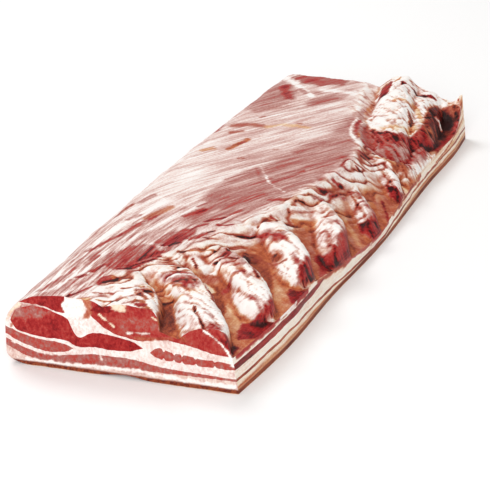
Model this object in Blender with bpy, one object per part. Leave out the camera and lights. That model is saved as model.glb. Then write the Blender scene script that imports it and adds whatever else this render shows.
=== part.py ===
"""A flat slab of cured pork belly, cut square at both ends, lying on its rind.

The slab is a loft of upright sections. Its top is smooth meat on the left and falls to a thin
right edge, where raised fingers of meat lie between the hollows that the ribs have left. At
the far right a lump of fat stands in a pocket of dark meat. The slab is then parted into the
layers that its cut ends show, from the rind up, and each layer runs on through the slab.
"""

import math

import bmesh
import bpy
import numpy as np

# Sizes below are in millimetres, and the objects are in metres.
MM = 0.001

# Driving dimensions. The cut ends run slanted: END_SLANT is how far they go along y for each
# millimetre across, so one section of the slab holds the points with one y - END_SLANT * x.
LENGTH = 464.0
END_SLANT = 0.155
CROWN_NEAR = 57.5
CROWN_FAR = 42.0
CROWN_SWELL = 1.5
SIDE_LEAN = 0.15
LAYER_GAP = 0.3

# The rounded left side: the toe's reach and height, then for the shoulder, as (y, value), its
# reach and the share of the height at which it starts. The shoulder tightens along the slab.
TOE_REACH = 18.5
TOE_HEIGHT = 9.0
SHOULDER_REACH = ((-245, 43), (-190, 36), (-120, 27), (-30, 21), (245, 19))
SHOULDER_START = ((-245, 0.5), (-120, 0.56), (-30, 0.6), (245, 0.62))

# Plan and heights along the slab, as (y, value).
LEFT_SIDE = ((-245, -86.5), (0, -86), (120, -84.5), (200, -84), (245, -81))
RIGHT_SIDE = (
    (-245, 76), (-218, 79), (-150, 84.5), (-60, 84), (10, 86.5), (155, 82.5), (215, 82.5),
    (245, 80),
)
# The x of the sides, at which the tables of the left and the right side are read.
SIDE_X = 80.0
EDGE_HEIGHT = (
    (-245, 27.5), (-150, 26), (-86, 23), (-41, 14.5), (-14, 12.5), (30, 9), (66, 12),
    (156, 15), (190, 15.5), (222, 16.5), (245, 30),
)
# Where the top starts to fall to the right edge, and how the fall curves.
FALL_LINE = (
    (-245, -25), (-174, -19), (-131, 6), (-95, 12), (-53, 30), (-3, 38), (100, 40),
    (123, 30), (160, 14), (245, -8),
)
FALL_CURVE = 1.3

# Each finger of meat: its line as (x, y, height), then the half widths of its near and of its
# far side, each at the root and at the tip.
FINGERS = (
    (((-42, -184, 56.5), (-14, -202, 57), (0, -218, 57.5), (8, -250, 57)), (14, 22), (14, 22)),
    (((-20, -157, 55), (20, -177, 54), (42, -200, 50.5), (57, -224, 47.5)), (13, 20), (12, 18)),
    (((-6, -117, 53.5), (30, -128, 52), (52, -142, 47.5), (66, -157, 42)), (12, 17), (10, 12)),
    (((10, -60, 51.5), (38, -68, 50), (56, -80, 46), (68, -94, 40)), (12, 18), (12, 14)),
    (((34, -2, 45), (54, -12, 42), (68, -27, 38), (79, -43, 31)), (13, 16), (10, 14)),
    (((46, 44, 37.5), (60, 36, 32), (70, 29, 26), (79, 22, 19)), (13, 12), (10, 11)),
    (((50, 98, 38), (60, 94, 33), (68, 90, 28), (75, 84, 23)), (11, 11), (9, 10)),
    (((78, 112, 22), (74, 156, 26)), (9, 9), (9, 9)),
)
# The fingers' tips come down over this distance from the right side.
TIP_FALL = 7.0
TIP_POWER = 0.6
# The far lump with its right shoulder, then the raised rims of its pocket, in the same terms.
LUMP = (
    (((46, 132, 39), (43, 152, 45), (38, 182, 49), (30, 215, 51), (24, 250, 53)), (25, 15), (18, 21)),
    (((54, 165, 34), (53, 190, 38), (48, 215, 41), (42, 240, 41)), (20, 20), (16, 16)),
)
POCKET_RIMS = (
    (((22, 142, 46), (26, 119, 46.5), (43, 102, 42), (61, 103, 36), (74, 117, 28)), (8, 8), (8, 8)),
    (((79, 160, 19), (82, 185, 17), (82, 215, 17), (80, 233, 26), (77, 252, 50)), (8, 8), (8, 8)),
    (((30, 238, 46), (48, 241, 39), (60, 242, 33), (70, 243, 33), (78, 245, 36)), (16, 14), (12, 12)),
)
# How square a raised form's shoulders are, and how full its sides.
SHOULDER_POWER = 2.4
SIDE_POWER = 0.85

# The cap of fat on the lump is a slanted oval: centre, half sizes, turn and underside.
CAP_CENTRE = (37.0, 193.0)
CAP_HALF_SIZES = (20.0, 56.0)
CAP_TURN = math.radians(12.0)
CAP_UNDERSIDE = 27.0
CAP_SIDES = 28

# The layers at the near end, as (x, middle height, thickness). Farther on they thin and move
# in with the slab's crown and its left side.
SKIN_MUSCLE = (
    (-100, 23, 6), (-82, 14.4, 5.6), (-64, 8.5, 6.3), (-50, 8, 6.6), (-28, 10.8, 8.6),
    (0, 12, 8), (26, 10.6, 4.6), (60, 10.4, 2.4), (100, 10.4, 2),
)
FLANK_LEAN = (
    (-100, 33, 8), (-82, 23.8, 6.6), (-64, 17.7, 8.2), (-50, 17.2, 8.2), (-42, 17.4, 4.8),
    (-38, 18, 1),
)
MAIN_LEAN = (
    (-82.5, 34, 5), (-79, 34.6, 14), (-73, 35.2, 19.6), (-62, 35.3, 23.6), (-50, 33.8, 20.4),
    (-43, 32.2, 18), (-39.5, 30, 15.6), (-38, 27.4, 12), (-22, 27.2, 12.4), (-6, 26.4, 10.4),
    (5, 26.2, 6.8), (12, 25.6, 1),
)
EDGE_LEAN = ((17, 23, 1), (20, 23, 5.6), (35, 21.7, 6.4), (60, 20.8, 5.8), (100, 20.6, 4.4))
# The edge lean thins towards its end over a taper, to a least share of its thickness.
EDGE_LEAN_END = -86.0
EDGE_LEAN_TAPER = 24.0
TAPER_LEAST = 0.15
TAPER_POWER = 0.5

# Height of the skin muscle's middle at the right edge, as (y, height), and where it starts
# to bend to it.
SKIN_LINE = ((-245, 10), (-150, 10.6), (-77, 8), (-41, 5.6), (20, 4.2), (80, 7.5), (245, 10.5))
SKIN_LINE_START = 20.0
SKIN_LINE_FULL = 75.0

# The top layers: where the left one ends, where the right one starts, as (y, x), and how
# deep they go. The ribbed layer's underside is a share of the height over the edge.
TOP_LEAN_RIGHT = (
    (-245, -44), (-174, -41), (-131, -17), (-95, -11), (-53, 14), (-3, 30), (100, 34),
    (123, 20), (170, 10), (245, -4),
)
RIB_MEAT_LEFT = (
    (-245, -22), (-205, -30), (-174, -35), (-131, -12), (-95, -6), (-53, 19), (-3, 35),
    (100, 39), (123, 25), (170, 15), (245, 1),
)
TOP_LEAN_DEPTH = 9.0
TOP_LEAN_LIP = 3.4
TOP_LEAN_LIP_WIDTH = 24.0
RIB_UNDERSIDE = (
    (0, 0.62), (0.09, 0.34), (0.26, 0.15), (0.36, 0.15), (0.46, 0.23), (0.66, 0.18),
    (0.78, 0.08), (1, 0.01), (1.3, 0.0),
)
# How far the ribbed layer dips under the right edge's height where the pocket's dark meat lies.
POCKET_DIP = ((-245, 0), (100, 0), (150, 1), (190, 1.5), (222, 2.5), (245, 15))
POCKET_DIP_FULL = 0.6
SEAM = 1.5

# How finely the shapes are drawn.
SECTIONS = 60
LAYER_SECTIONS = 12
LAYER_POINTS = 12
SHORT_TABLE = 8
MOST_EXACT_CUTS = 2
TOE_POINTS = 3
SHOULDER_POINTS = 6
TOP_POINTS = 23
LINE_POINTS = 14
SHARP_ANGLE = math.radians(40.0)

# How far the shapes that part the slab run past it.
OVERRUN = 8.0
HIGH = 90.0
LOW = -20.0
OUT_LEFT = -100.0
OUT_RIGHT = 100.0


def along(table, at):
    """The table's value at each place, on a smooth curve through its points."""
    places = np.array([row[0] for row in table], float)
    values = np.array([row[1] for row in table], float)
    slopes = np.gradient(values, places)
    at = np.clip(np.asarray(at, float), places[0], places[-1])
    i = np.clip(np.searchsorted(places, at) - 1, 0, len(places) - 2)
    step = places[i + 1] - places[i]
    t = (at - places[i]) / step
    start = (1 + 2 * t) * (1 - t) ** 2 * values[i] + t * (1 - t) ** 2 * step * slopes[i]
    end = t * t * (3 - 2 * t) * values[i + 1] - t * t * (1 - t) * step * slopes[i + 1]
    return start + end


def ease(low, high, at):
    t = np.clip((np.asarray(at, float) - low) / (high - low), 0, 1)
    return t * t * (3 - 2 * t)


def crown(y):
    """Height of the slab's smooth top at y: an even fall that swells a little half way."""
    share = np.clip(y / LENGTH + 0.5, 0, 1)
    return CROWN_NEAR + (CROWN_FAR - CROWN_NEAR) * share + CROWN_SWELL * 4 * share * (1 - share)


def smooth_line(points):
    """Points close together on a curve through the given ones."""
    points = np.array(points, float)
    count = np.arange(len(points))
    at = np.linspace(0, len(points) - 1, LINE_POINTS)
    return np.stack([along(list(zip(count, points[:, k])), at) for k in range(3)], axis=-1)


def raise_form(x, y, ground, form):
    """The ground with a rounded form standing on it, whose two sides may differ in width."""
    points, near_widths, far_widths = form
    line = smooth_line(points)
    best = np.array(ground, float)
    last = len(line) - 2
    for k in range(last + 1):
        a, b = line[k], line[k + 1]
        run = b[:2] - a[:2]
        t = np.clip(((x - a[0]) * run[0] + (y - a[1]) * run[1]) / (run @ run), 0, 1)
        away = np.hypot(x - a[0] - t * run[0], y - a[1] - t * run[1])
        far = run[0] * (y - a[1]) - run[1] * (x - a[0]) > 0
        share = (k + t) / (last + 1)
        width = np.where(
            far,
            far_widths[0] + (far_widths[1] - far_widths[0]) * share,
            near_widths[0] + (near_widths[1] - near_widths[0]) * share,
        )
        rise = np.clip(1 - (away / width) ** SHOULDER_POWER, 0, 1) ** SIDE_POWER
        height = a[2] + t * (b[2] - a[2])
        best = np.maximum(best, ground + (height - ground) * rise)
    return best


def top_edge(y):
    """The x at which the top meets the upright right side."""
    return along(RIGHT_SIDE, y) - SIDE_LEAN * along(EDGE_HEIGHT, y)


def top_height(x, y):
    """Height of the slab's top at x, y, right of its rounded left shoulder."""
    x, y = np.asarray(x, float), np.asarray(y, float)
    edge = along(EDGE_HEIGHT, y)
    start = along(FALL_LINE, y)
    fall = np.clip((x - start) / (along(RIGHT_SIDE, y) - start), 0, 1)
    ground = edge + (crown(y) - edge) * (1 - fall) ** FALL_CURVE
    height = ground
    for form in FINGERS:
        height = np.maximum(height, raise_form(x, y, ground, form))
    height = ground + (height - ground) * ease(0, TIP_FALL, top_edge(y) - x) ** TIP_POWER
    for form in POCKET_RIMS + LUMP:
        height = np.maximum(height, raise_form(x, y, ground, form))
    return height


def slab_section(v):
    """One closed section of the slab, from the right foot round by the left side and the top."""
    left = float(along(LEFT_SIDE, v - END_SLANT * SIDE_X))
    right = float(along(RIGHT_SIDE, v + END_SLANT * SIDE_X))
    reach = float(along(SHOULDER_REACH, v))
    shoulder = float(crown(v) * along(SHOULDER_START, v))
    turn = np.linspace(0, math.pi / 2, TOE_POINTS + 2)
    toe_x = left + TOE_REACH * (1 - np.sin(turn))
    toe_z = TOE_HEIGHT * (1 - np.cos(turn))
    turn = np.linspace(0, math.pi / 2, SHOULDER_POINTS + 2)[:-1]
    side_x = left + reach * (1 - np.cos(turn))
    top_left = left + reach
    crest = top_height(top_left, v + END_SLANT * top_left)
    side_z = shoulder + (crest - shoulder) * np.sin(turn)
    edge_x = right - SIDE_LEAN * along(EDGE_HEIGHT, v + END_SLANT * right)
    top_x = np.linspace(top_left, edge_x, TOP_POINTS)
    top_z = top_height(top_x, v + END_SLANT * top_x)
    # The right side has one point half way down.
    x = np.concatenate([[right], toe_x, side_x, top_x, [(edge_x + right) / 2]])
    z = np.concatenate([[0.0], toe_z, side_z, top_z, [top_z[-1] / 2]])
    return section_at(v, x, z)


def loft(name, sections, collection):
    """A closed object through sections that each have the same number of points.

    Its sides are triangles split one way, so that a shape and its grown copy never cross.
    """
    mesh = bpy.data.meshes.new(name)
    shape = bmesh.new()
    rows = [[shape.verts.new(tuple(point * MM)) for point in section] for section in sections]
    count = len(rows[0])
    for near, far in zip(rows, rows[1:]):
        for i in range(count):
            j = (i + 1) % count
            shape.faces.new((near[i], near[j], far[i]))
            shape.faces.new((near[j], far[j], far[i]))
    shape.faces.new(rows[0])
    shape.faces.new(rows[-1])
    bmesh.ops.recalc_face_normals(shape, faces=shape.faces)
    shape.to_mesh(mesh)
    shape.free()
    made = bpy.data.objects.new(name, mesh)
    collection.objects.link(made)
    return made


def section_at(v, x, z):
    x = np.asarray(x, float)
    return np.stack([x, v + END_SLANT * x, np.asarray(z, float)], axis=-1)


def layer_stations(last=None):
    end = LENGTH / 2 + OVERRUN
    return np.linspace(-end, end if last is None else last, LAYER_SECTIONS)


def band(table, x, v):
    """Middle height and thickness of a layer at x in the section v."""
    y = v + END_SLANT * x
    inward = np.where(x < 0, LEFT_SIDE[0][1] / along(LEFT_SIDE, y), 1.0)
    thin = crown(y) / CROWN_NEAR
    middle = along([row[:2] for row in table], x * inward) * thin
    thick = along([(row[0], row[2]) for row in table], x * inward) * thin
    return middle, thick


def ring_of(x, lower, upper, v):
    """A closed section between two curves over the same x."""
    return section_at(v, np.concatenate([x, x[::-1]]), np.concatenate([lower, upper[::-1]]))


def spread(table, v):
    """The layer's stations across: its own, with one more between each two of a short table."""
    own = np.array([row[0] for row in table], float)
    count = len(own) if len(own) > SHORT_TABLE else 2 * len(own) - 1
    x = np.interp(np.linspace(0, len(own) - 1, count), np.arange(len(own)), own)
    return x * np.where(x < 0, along(LEFT_SIDE, v + END_SLANT * x) / LEFT_SIDE[0][1], 1.0)


def lean_sections(table, grow, last=None, taper=0.0):
    """Sections of a lean layer that lies in the fat, grown all round by the given amount."""
    sections = []
    for v in layer_stations(last):
        x = spread(table, v)
        middle, thick = band(table, x, v)
        if taper:
            thick = thick * np.clip((last - v) / taper, TAPER_LEAST, 1) ** TAPER_POWER
        reach = np.zeros(len(x))
        reach[0], reach[-1] = -grow, grow
        half = thick / 2 + grow
        sections.append(ring_of(x + reach, middle - half, middle + half, v))
    return sections


def skin_curves(x, v):
    """Underside and top of the skin muscle, bent at the right to its line on the side."""
    middle, thick = band(SKIN_MUSCLE, x, v)
    bend = ease(SKIN_LINE_START, SKIN_LINE_FULL, x)
    middle = middle + bend * (along(SKIN_LINE, v + END_SLANT * x) - middle)
    return middle - thick / 2, middle + thick / 2


def skin_sections(lower_shift, upper_shift):
    """Sections of the skin muscle, or of all above or below it where a shift is None."""
    sections = []
    for v in layer_stations():
        x = spread(SKIN_MUSCLE, v)
        x[0], x[-1] = OUT_LEFT, OUT_RIGHT
        under, over = skin_curves(x, v)
        lower = np.full(len(x), LOW) if lower_shift is None else under + lower_shift
        upper = np.full(len(x), HIGH) if upper_shift is None else over + upper_shift
        sections.append(ring_of(x, lower, upper, v))
    return sections


def over_main_lean(x, v):
    """The lowest that a top layer may reach where the main lean lies under it."""
    middle, thick = band(MAIN_LEAN, x, v)
    return np.where(x < MAIN_LEAN[-1][0] + SEAM, middle + thick / 2 + SEAM, LOW)


def top_lean_sections(grow):
    sections = []
    for v in layer_stations():
        right = float(along(TOP_LEAN_RIGHT, v))
        x = np.linspace(OUT_LEFT, right, LAYER_POINTS)
        y = v + END_SLANT * x
        lip = ease(-TOP_LEAN_LIP_WIDTH, 0, x - right) * TOP_LEAN_LIP
        lower = np.maximum(crown(y) - TOP_LEAN_DEPTH - lip, over_main_lean(x, v)) - grow
        x[-1] += grow
        sections.append(ring_of(x, lower, np.full(len(x), HIGH), v))
    return sections


def rib_meat_sections(grow):
    sections = []
    for v in layer_stations():
        left = float(along(RIB_MEAT_LEFT, v))
        x = np.linspace(left, OUT_RIGHT, LAYER_POINTS)
        y = v + END_SLANT * x
        across = (x - left) / (along(RIGHT_SIDE, y) - left)
        edge = along(EDGE_HEIGHT, y)
        lower = edge + (crown(y) - edge) * along(RIB_UNDERSIDE, across)
        lower = lower - along(POCKET_DIP, y) * ease(0, POCKET_DIP_FULL, across)
        lower = np.maximum(lower, over_main_lean(x, v)) - grow
        x[0] -= grow
        sections.append(ring_of(x, lower, np.full(len(x), HIGH), v))
    return sections


def cap_well(name, grow, collection):
    """The upright oval that parts the lump's cap of fat from the meat round it."""
    mesh = bpy.data.meshes.new(name)
    shape = bmesh.new()
    depth = HIGH - CAP_UNDERSIDE + grow
    bmesh.ops.create_cone(
        shape, cap_ends=True, segments=CAP_SIDES, radius1=MM, radius2=MM, depth=depth * MM
    )
    shape.to_mesh(mesh)
    shape.free()
    made = bpy.data.objects.new(name, mesh)
    collection.objects.link(made)
    made.location = (CAP_CENTRE[0] * MM, CAP_CENTRE[1] * MM, (HIGH - depth / 2) * MM)
    made.rotation_euler = (0, 0, CAP_TURN)
    made.scale = (CAP_HALF_SIZES[0] + grow, CAP_HALF_SIZES[1] + grow, 1)
    return made


def material(name, colour, roughness):
    made = bpy.data.materials.new(name)
    made.use_nodes = True
    shader = made.node_tree.nodes["Principled BSDF"]
    shader.inputs["Base Color"].default_value = (*colour, 1)
    shader.inputs["Roughness"].default_value = roughness
    shader.inputs["Metallic"].default_value = 0.0
    return made


def helper(made):
    made.hide_render = True
    made.display_type = "WIRE"
    return made


def cut(piece, cutter, operation, solver):
    modifier = piece.modifiers.new(cutter.name, "BOOLEAN")
    modifier.operation = operation
    modifier.solver = solver
    modifier.object = cutter


def layer(name, slab, keep, remove, finish, collection):
    """A node: the part of the slab inside every shape of keep and outside those of remove."""
    mesh = slab.data.copy()
    mesh.name = name
    made = bpy.data.objects.new(name, mesh)
    collection.objects.link(made)
    # The exact solver loses a cut where many rooms meet thin walls.
    solver = "MANIFOLD" if len(remove) > MOST_EXACT_CUTS else "EXACT"
    for cutter in keep:
        cut(made, cutter, "INTERSECT", solver)
    for cutter in remove:
        cut(made, cutter, "DIFFERENCE", solver)
    made.data.materials.clear()
    made.data.materials.append(finish)
    made.data.shade_smooth()
    made.data.set_sharp_from_angle(angle=SHARP_ANGLE)
    return made


def main():
    for old in list(bpy.data.objects):
        bpy.data.objects.remove(old, do_unlink=True)
    parts = bpy.data.collections.new("pancetta")
    cutters = bpy.data.collections.new("cutters")
    for made in (parts, cutters):
        bpy.context.scene.collection.children.link(made)

    stations = np.linspace(-LENGTH / 2, LENGTH / 2, SECTIONS)
    slab = helper(loft("slab", [slab_section(v) for v in stations], cutters))

    def shape(name, sections):
        return helper(loft(name, sections, cutters))

    gap = LAYER_GAP
    skin = shape("skin_shape", skin_sections(0, 0))
    over_fat = shape("over_back_fat", skin_sections(-gap, None))
    under_seam = shape("under_seam_fat", skin_sections(None, gap))
    flank = shape("flank_shape", lean_sections(FLANK_LEAN, 0))
    flank_grown = shape("flank_room", lean_sections(FLANK_LEAN, gap))
    lean = shape("main_shape", lean_sections(MAIN_LEAN, 0))
    lean_grown = shape("main_room", lean_sections(MAIN_LEAN, gap))
    edge = shape("edge_shape", lean_sections(EDGE_LEAN, 0, EDGE_LEAN_END, EDGE_LEAN_TAPER))
    edge_grown = shape(
        "edge_room", lean_sections(EDGE_LEAN, gap, EDGE_LEAN_END + gap, EDGE_LEAN_TAPER)
    )
    top = shape("top_shape", top_lean_sections(0))
    top_grown = shape("top_room", top_lean_sections(gap))
    rib = shape("rib_shape", rib_meat_sections(0))
    rib_grown = shape("rib_room", rib_meat_sections(gap))
    cap = helper(cap_well("cap_shape", 0, cutters))
    cap_grown = helper(cap_well("cap_room", gap, cutters))

    fat = material("fat", (0.86, 0.74, 0.68), 0.45)
    rind = material("rind_fat", (0.80, 0.62, 0.50), 0.5)
    red = material("lean", (0.36, 0.05, 0.045), 0.4)
    pink = material("pink_lean", (0.48, 0.16, 0.14), 0.4)
    mauve = material("membrane", (0.50, 0.27, 0.25), 0.4)
    ribbed = material("rib_membrane", (0.58, 0.36, 0.28), 0.4)

    layer("back_fat", slab, (), (over_fat,), rind, parts)
    layer("skin_muscle", slab, (skin,), (), pink, parts)
    rooms = (under_seam, flank_grown, lean_grown, edge_grown, top_grown, rib_grown, cap_grown)
    layer("seam_fat", slab, (), rooms, fat, parts)
    layer("flank_lean", slab, (flank,), (), pink, parts)
    layer("main_lean", slab, (lean,), (), red, parts)
    layer("edge_lean", slab, (edge,), (), red, parts)
    layer("top_lean", slab, (top,), (), mauve, parts)
    layer("rib_meat", slab, (rib,), (cap_grown,), ribbed, parts)
    layer("pocket_fat", slab, (cap,), (), fat, parts)


main()
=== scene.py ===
# %% [markdown]
# # A slab of pancetta
#
# Pancetta is pork belly that has been salted and dried. This one is a flat slab, cut straight
# at both ends, that lies on its rind. The long smooth side is the belly's inner skin. On the
# other side the ribs were pulled out, which left fingers of meat with hollows between them.
#
# The order of work is a butcher's: first the whole slab, then the layers it is parted into,
# then the colours of fat and meat on each, and last the light and the camera.
#
# The frame below is the same slab as a plain solid, already measured. Every piece
# made here stands for one of its nodes and stays in that node's place.

# %% Load the frame
import math

import bmesh
import bpy
import numpy as np
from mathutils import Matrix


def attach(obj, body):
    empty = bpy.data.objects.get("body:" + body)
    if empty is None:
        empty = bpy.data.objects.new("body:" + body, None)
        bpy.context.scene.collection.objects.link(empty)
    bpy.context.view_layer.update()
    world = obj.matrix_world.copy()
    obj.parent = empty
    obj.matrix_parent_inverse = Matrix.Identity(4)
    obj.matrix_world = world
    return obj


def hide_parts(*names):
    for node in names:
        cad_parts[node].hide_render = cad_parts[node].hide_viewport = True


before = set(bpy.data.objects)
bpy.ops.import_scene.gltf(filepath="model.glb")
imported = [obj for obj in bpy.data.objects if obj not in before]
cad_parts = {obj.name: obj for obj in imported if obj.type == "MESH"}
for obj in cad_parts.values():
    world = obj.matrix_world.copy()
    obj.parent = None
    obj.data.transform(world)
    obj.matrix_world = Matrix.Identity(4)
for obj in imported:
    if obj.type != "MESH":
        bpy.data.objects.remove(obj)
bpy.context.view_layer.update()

MM = 0.001

# %% [markdown]
# ## The outline of the slab
#
# A slab of meat has no straight line in it, so its sizes are given as short tables: a place
# along the slab and the value there. A smooth curve through each table gives the value
# anywhere. Blender could hold such curves as curve objects, but numbers in a table are easier
# to read, to change and to use for thousands of points at once.
#
# All sizes here are in millimetres. The cut ends run slanted, so a place along the slab is
# its y less a part of its x.

# %% Sizes along the slab
LENGTH = 464.0
END_SLANT = 0.155
CROWN_NEAR, CROWN_FAR, CROWN_SWELL = 57.5, 42.0, 1.5
SIDE_LEAN = 0.15
TOE_REACH, TOE_HEIGHT = 18.5, 9.0
SHOULDER_REACH = ((-245, 43), (-190, 36), (-120, 27), (-30, 21), (245, 19))
SHOULDER_START = ((-245, 0.5), (-120, 0.56), (-30, 0.6), (245, 0.62))
LEFT_SIDE = ((-245, -86.5), (0, -86), (120, -84.5), (200, -84), (245, -81))
RIGHT_SIDE = (
    (-245, 76), (-218, 79), (-150, 84.5), (-60, 84), (10, 86.5), (155, 82.5), (215, 82.5), (245, 80),
)
# The tables of the sides hold about this far from the middle.
SIDE_X = 80.0
EDGE_HEIGHT = (
    (-245, 27.5), (-150, 26), (-86, 23), (-41, 14.5), (-14, 12.5), (30, 9), (66, 12),
    (156, 15), (190, 15.5), (222, 16.5), (245, 30),
)
FALL_LINE = (
    (-245, -25), (-174, -19), (-131, 6), (-95, 12), (-53, 30), (-3, 38), (100, 40),
    (123, 30), (160, 14), (245, -8),
)
FALL_CURVE = 1.3


def along(table, at):
    """The table's value at each place, on a smooth curve through its points."""
    places = np.array([row[0] for row in table], float)
    values = np.array([row[1] for row in table], float)
    slopes = np.gradient(values, places)
    at = np.clip(np.asarray(at, float), places[0], places[-1])
    i = np.clip(np.searchsorted(places, at) - 1, 0, len(places) - 2)
    step = places[i + 1] - places[i]
    t = (at - places[i]) / step
    start = (1 + 2 * t) * (1 - t) ** 2 * values[i] + t * (1 - t) ** 2 * step * slopes[i]
    end = t * t * (3 - 2 * t) * values[i + 1] - t * t * (1 - t) * step * slopes[i + 1]
    return start + end


def ease(low, high, at):
    """0 below low and 1 above high, with a soft change between them."""
    t = np.clip((np.asarray(at, float) - low) / (high - low), 0, 1)
    return t * t * (3 - 2 * t)


def crown(y):
    """Height of the smooth top at y."""
    share = np.clip(y / LENGTH + 0.5, 0, 1)
    return CROWN_NEAR + (CROWN_FAR - CROWN_NEAR) * share + CROWN_SWELL * 4 * share * (1 - share)


print("crown at the ends and the middle:", crown(-232.0), crown(0.0), crown(232.0))

# %% [markdown]
# ## The unevenness of meat
#
# Nothing on the slab is machined, so every surface and every border between two layers gets a
# little unevenness. Blender's noise textures do this in a material, but here the real shape
# has to change, so the noise is worked out in Python. A grid of random numbers, blended
# smoothly between its points, is the simplest kind. Several of them added up, each finer and
# weaker than the last, look natural. A fixed seed gives the same slab on every run.

# %% Noise for shapes
NOISE_CELLS = 64
TURN = np.array([[0.8, 0.6], [-0.6, 0.8]])


def lattice_noise(u, w, seed):
    """Smooth noise from -1 to 1 that changes over about one unit."""
    table = np.random.default_rng(seed).uniform(-1, 1, (NOISE_CELLS, NOISE_CELLS))
    i, j = np.floor(u).astype(int), np.floor(w).astype(int)
    s, t = u - i, w - j
    s, t = s * s * (3 - 2 * s), t * t * (3 - 2 * t)
    i, j, i2, j2 = (value % NOISE_CELLS for value in (i, j, i + 1, j + 1))
    near = table[i, j] * (1 - s) + table[i2, j] * s
    return near * (1 - t) + (table[i, j2] * (1 - s) + table[i2, j2] * s) * t


def uneven(u, w, seed, octaves=3):
    """Noise of several sizes, the coarsest about one unit across."""
    u, w = np.broadcast_arrays(np.asarray(u, float), np.asarray(w, float))
    total, weight = np.zeros(u.shape), 1.0
    for octave in range(octaves):
        total = total + weight * lattice_noise(u, w, seed + octave)
        u, w = 2 * (TURN[0, 0] * u + TURN[0, 1] * w) + 17, 2 * (TURN[1, 0] * u + TURN[1, 1] * w) + 5
        weight *= 0.5
    return total


print("a few values of the noise:", np.round(uneven([0.2, 3.4, 7.9], [1.1, 5.2, 2.3], 1), 2))

# %% [markdown]
# ## Which way the fibres run
#
# The inner skin is stretched over the muscle, and both run in fine strands. Near the front
# they follow the slab's length, and farther on they fan out to the right. A strand is a line
# along which one number stays the same. That number, the place across the strands, is used
# twice: for the low waves of the surface and later for the streaks of colour.

# %% The fan of the fibres
FAN_START, FAN_FULL, FAN_ANGLE = -170.0, 20.0, math.radians(30)
FAN_Y = np.linspace(-260, 260, 261)
FAN_SHIFT = np.cumsum(np.tan(FAN_ANGLE * ease(FAN_START, FAN_FULL, FAN_Y))) * (FAN_Y[1] - FAN_Y[0])


def across_fibres(x, y):
    """The number that stays the same along a strand."""
    return x - np.interp(y, FAN_Y, FAN_SHIFT)


print("the fan moves a strand by", round(float(FAN_SHIFT[-1])), "mm over the slab")

# %% [markdown]
# ## Fingers, lump and pocket
#
# Between each two ribs a finger of meat is left standing. Its near side is pulled out to a
# slope and its far side ends in a torn edge, so from the front each hollow starts with a dark
# line. One finger is a bent line with a height, and the ground is raised to that height near
# the line. The lump of fat at the far right and the rims of the pocket round it are made in
# the same way. The ground itself falls from the smooth top to the thin right edge.
#
# Sculpting by hand in Blender would give such forms too, but a script has to say them in
# numbers, and a height for each place on the slab is enough, because nothing hangs over.

# %% Sizes of the raised forms
# A form is its line, as points (x, y, height), and the widths of its near and its far side, each
# at the start and at the end of the line.
FINGERS = (
    (((-42, -184, 56.5), (-14, -202, 57), (0, -218, 57.5), (8, -250, 57)), (14, 22), (14, 22)),
    (((-20, -157, 55), (20, -177, 54), (42, -200, 50.5), (57, -224, 47.5)), (13, 20), (12, 18)),
    (((-6, -117, 53.5), (30, -128, 52), (52, -142, 47.5), (66, -157, 42)), (12, 17), (10, 12)),
    (((10, -60, 51.5), (38, -68, 50), (56, -80, 46), (68, -94, 40)), (12, 18), (12, 14)),
    (((34, -2, 45), (54, -12, 42), (68, -27, 38), (79, -43, 31)), (13, 16), (10, 14)),
    (((46, 44, 37.5), (60, 36, 32), (70, 29, 26), (79, 22, 19)), (13, 12), (10, 11)),
    (((50, 98, 38), (60, 94, 33), (68, 90, 28), (75, 84, 23)), (11, 11), (9, 10)),
    (((78, 112, 22), (74, 156, 26)), (9, 9), (9, 9)),
)
LUMP = (
    (((46, 132, 39), (43, 152, 45), (38, 182, 49), (30, 215, 51), (24, 250, 53)), (25, 15), (18, 21)),
    (((54, 165, 34), (53, 190, 38), (48, 215, 41), (42, 240, 41)), (20, 20), (16, 16)),
)
POCKET_RIMS = (
    (((22, 142, 46), (26, 119, 46.5), (43, 102, 42), (61, 103, 36), (74, 117, 28)), (8, 8), (8, 8)),
    (((79, 160, 19), (82, 185, 17), (82, 215, 17), (80, 233, 26), (77, 252, 50)), (8, 8), (8, 8)),
    (((30, 238, 46), (48, 241, 39), (60, 242, 33), (70, 243, 33), (78, 245, 36)), (16, 14), (12, 12)),
)
LINE_POINTS = 14
NEAR_SIDE, FAR_SIDE, ROUND_SIDE = (2.3, 0.95), (5.0, 0.5), (2.4, 0.85)
TORN_EDGE, TORN_SIZE = 1.5, 8.0
TIP_END, TIP_FALL, TIP_POWER = -1.0, 7.0, 0.6
print(len(FINGERS) - 1, "fingers and a low ridge, the highest", max(row[2] for row in FINGERS[0][0]), "mm")

# %% Raise a form from the ground
def smooth_line(points):
    """Points close together on a curve through the given ones."""
    points = np.array(points, float)
    count = np.arange(len(points))
    at = np.linspace(0, len(points) - 1, LINE_POINTS)
    return np.stack([along(list(zip(count, points[:, k])), at) for k in range(3)], axis=-1)


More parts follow.
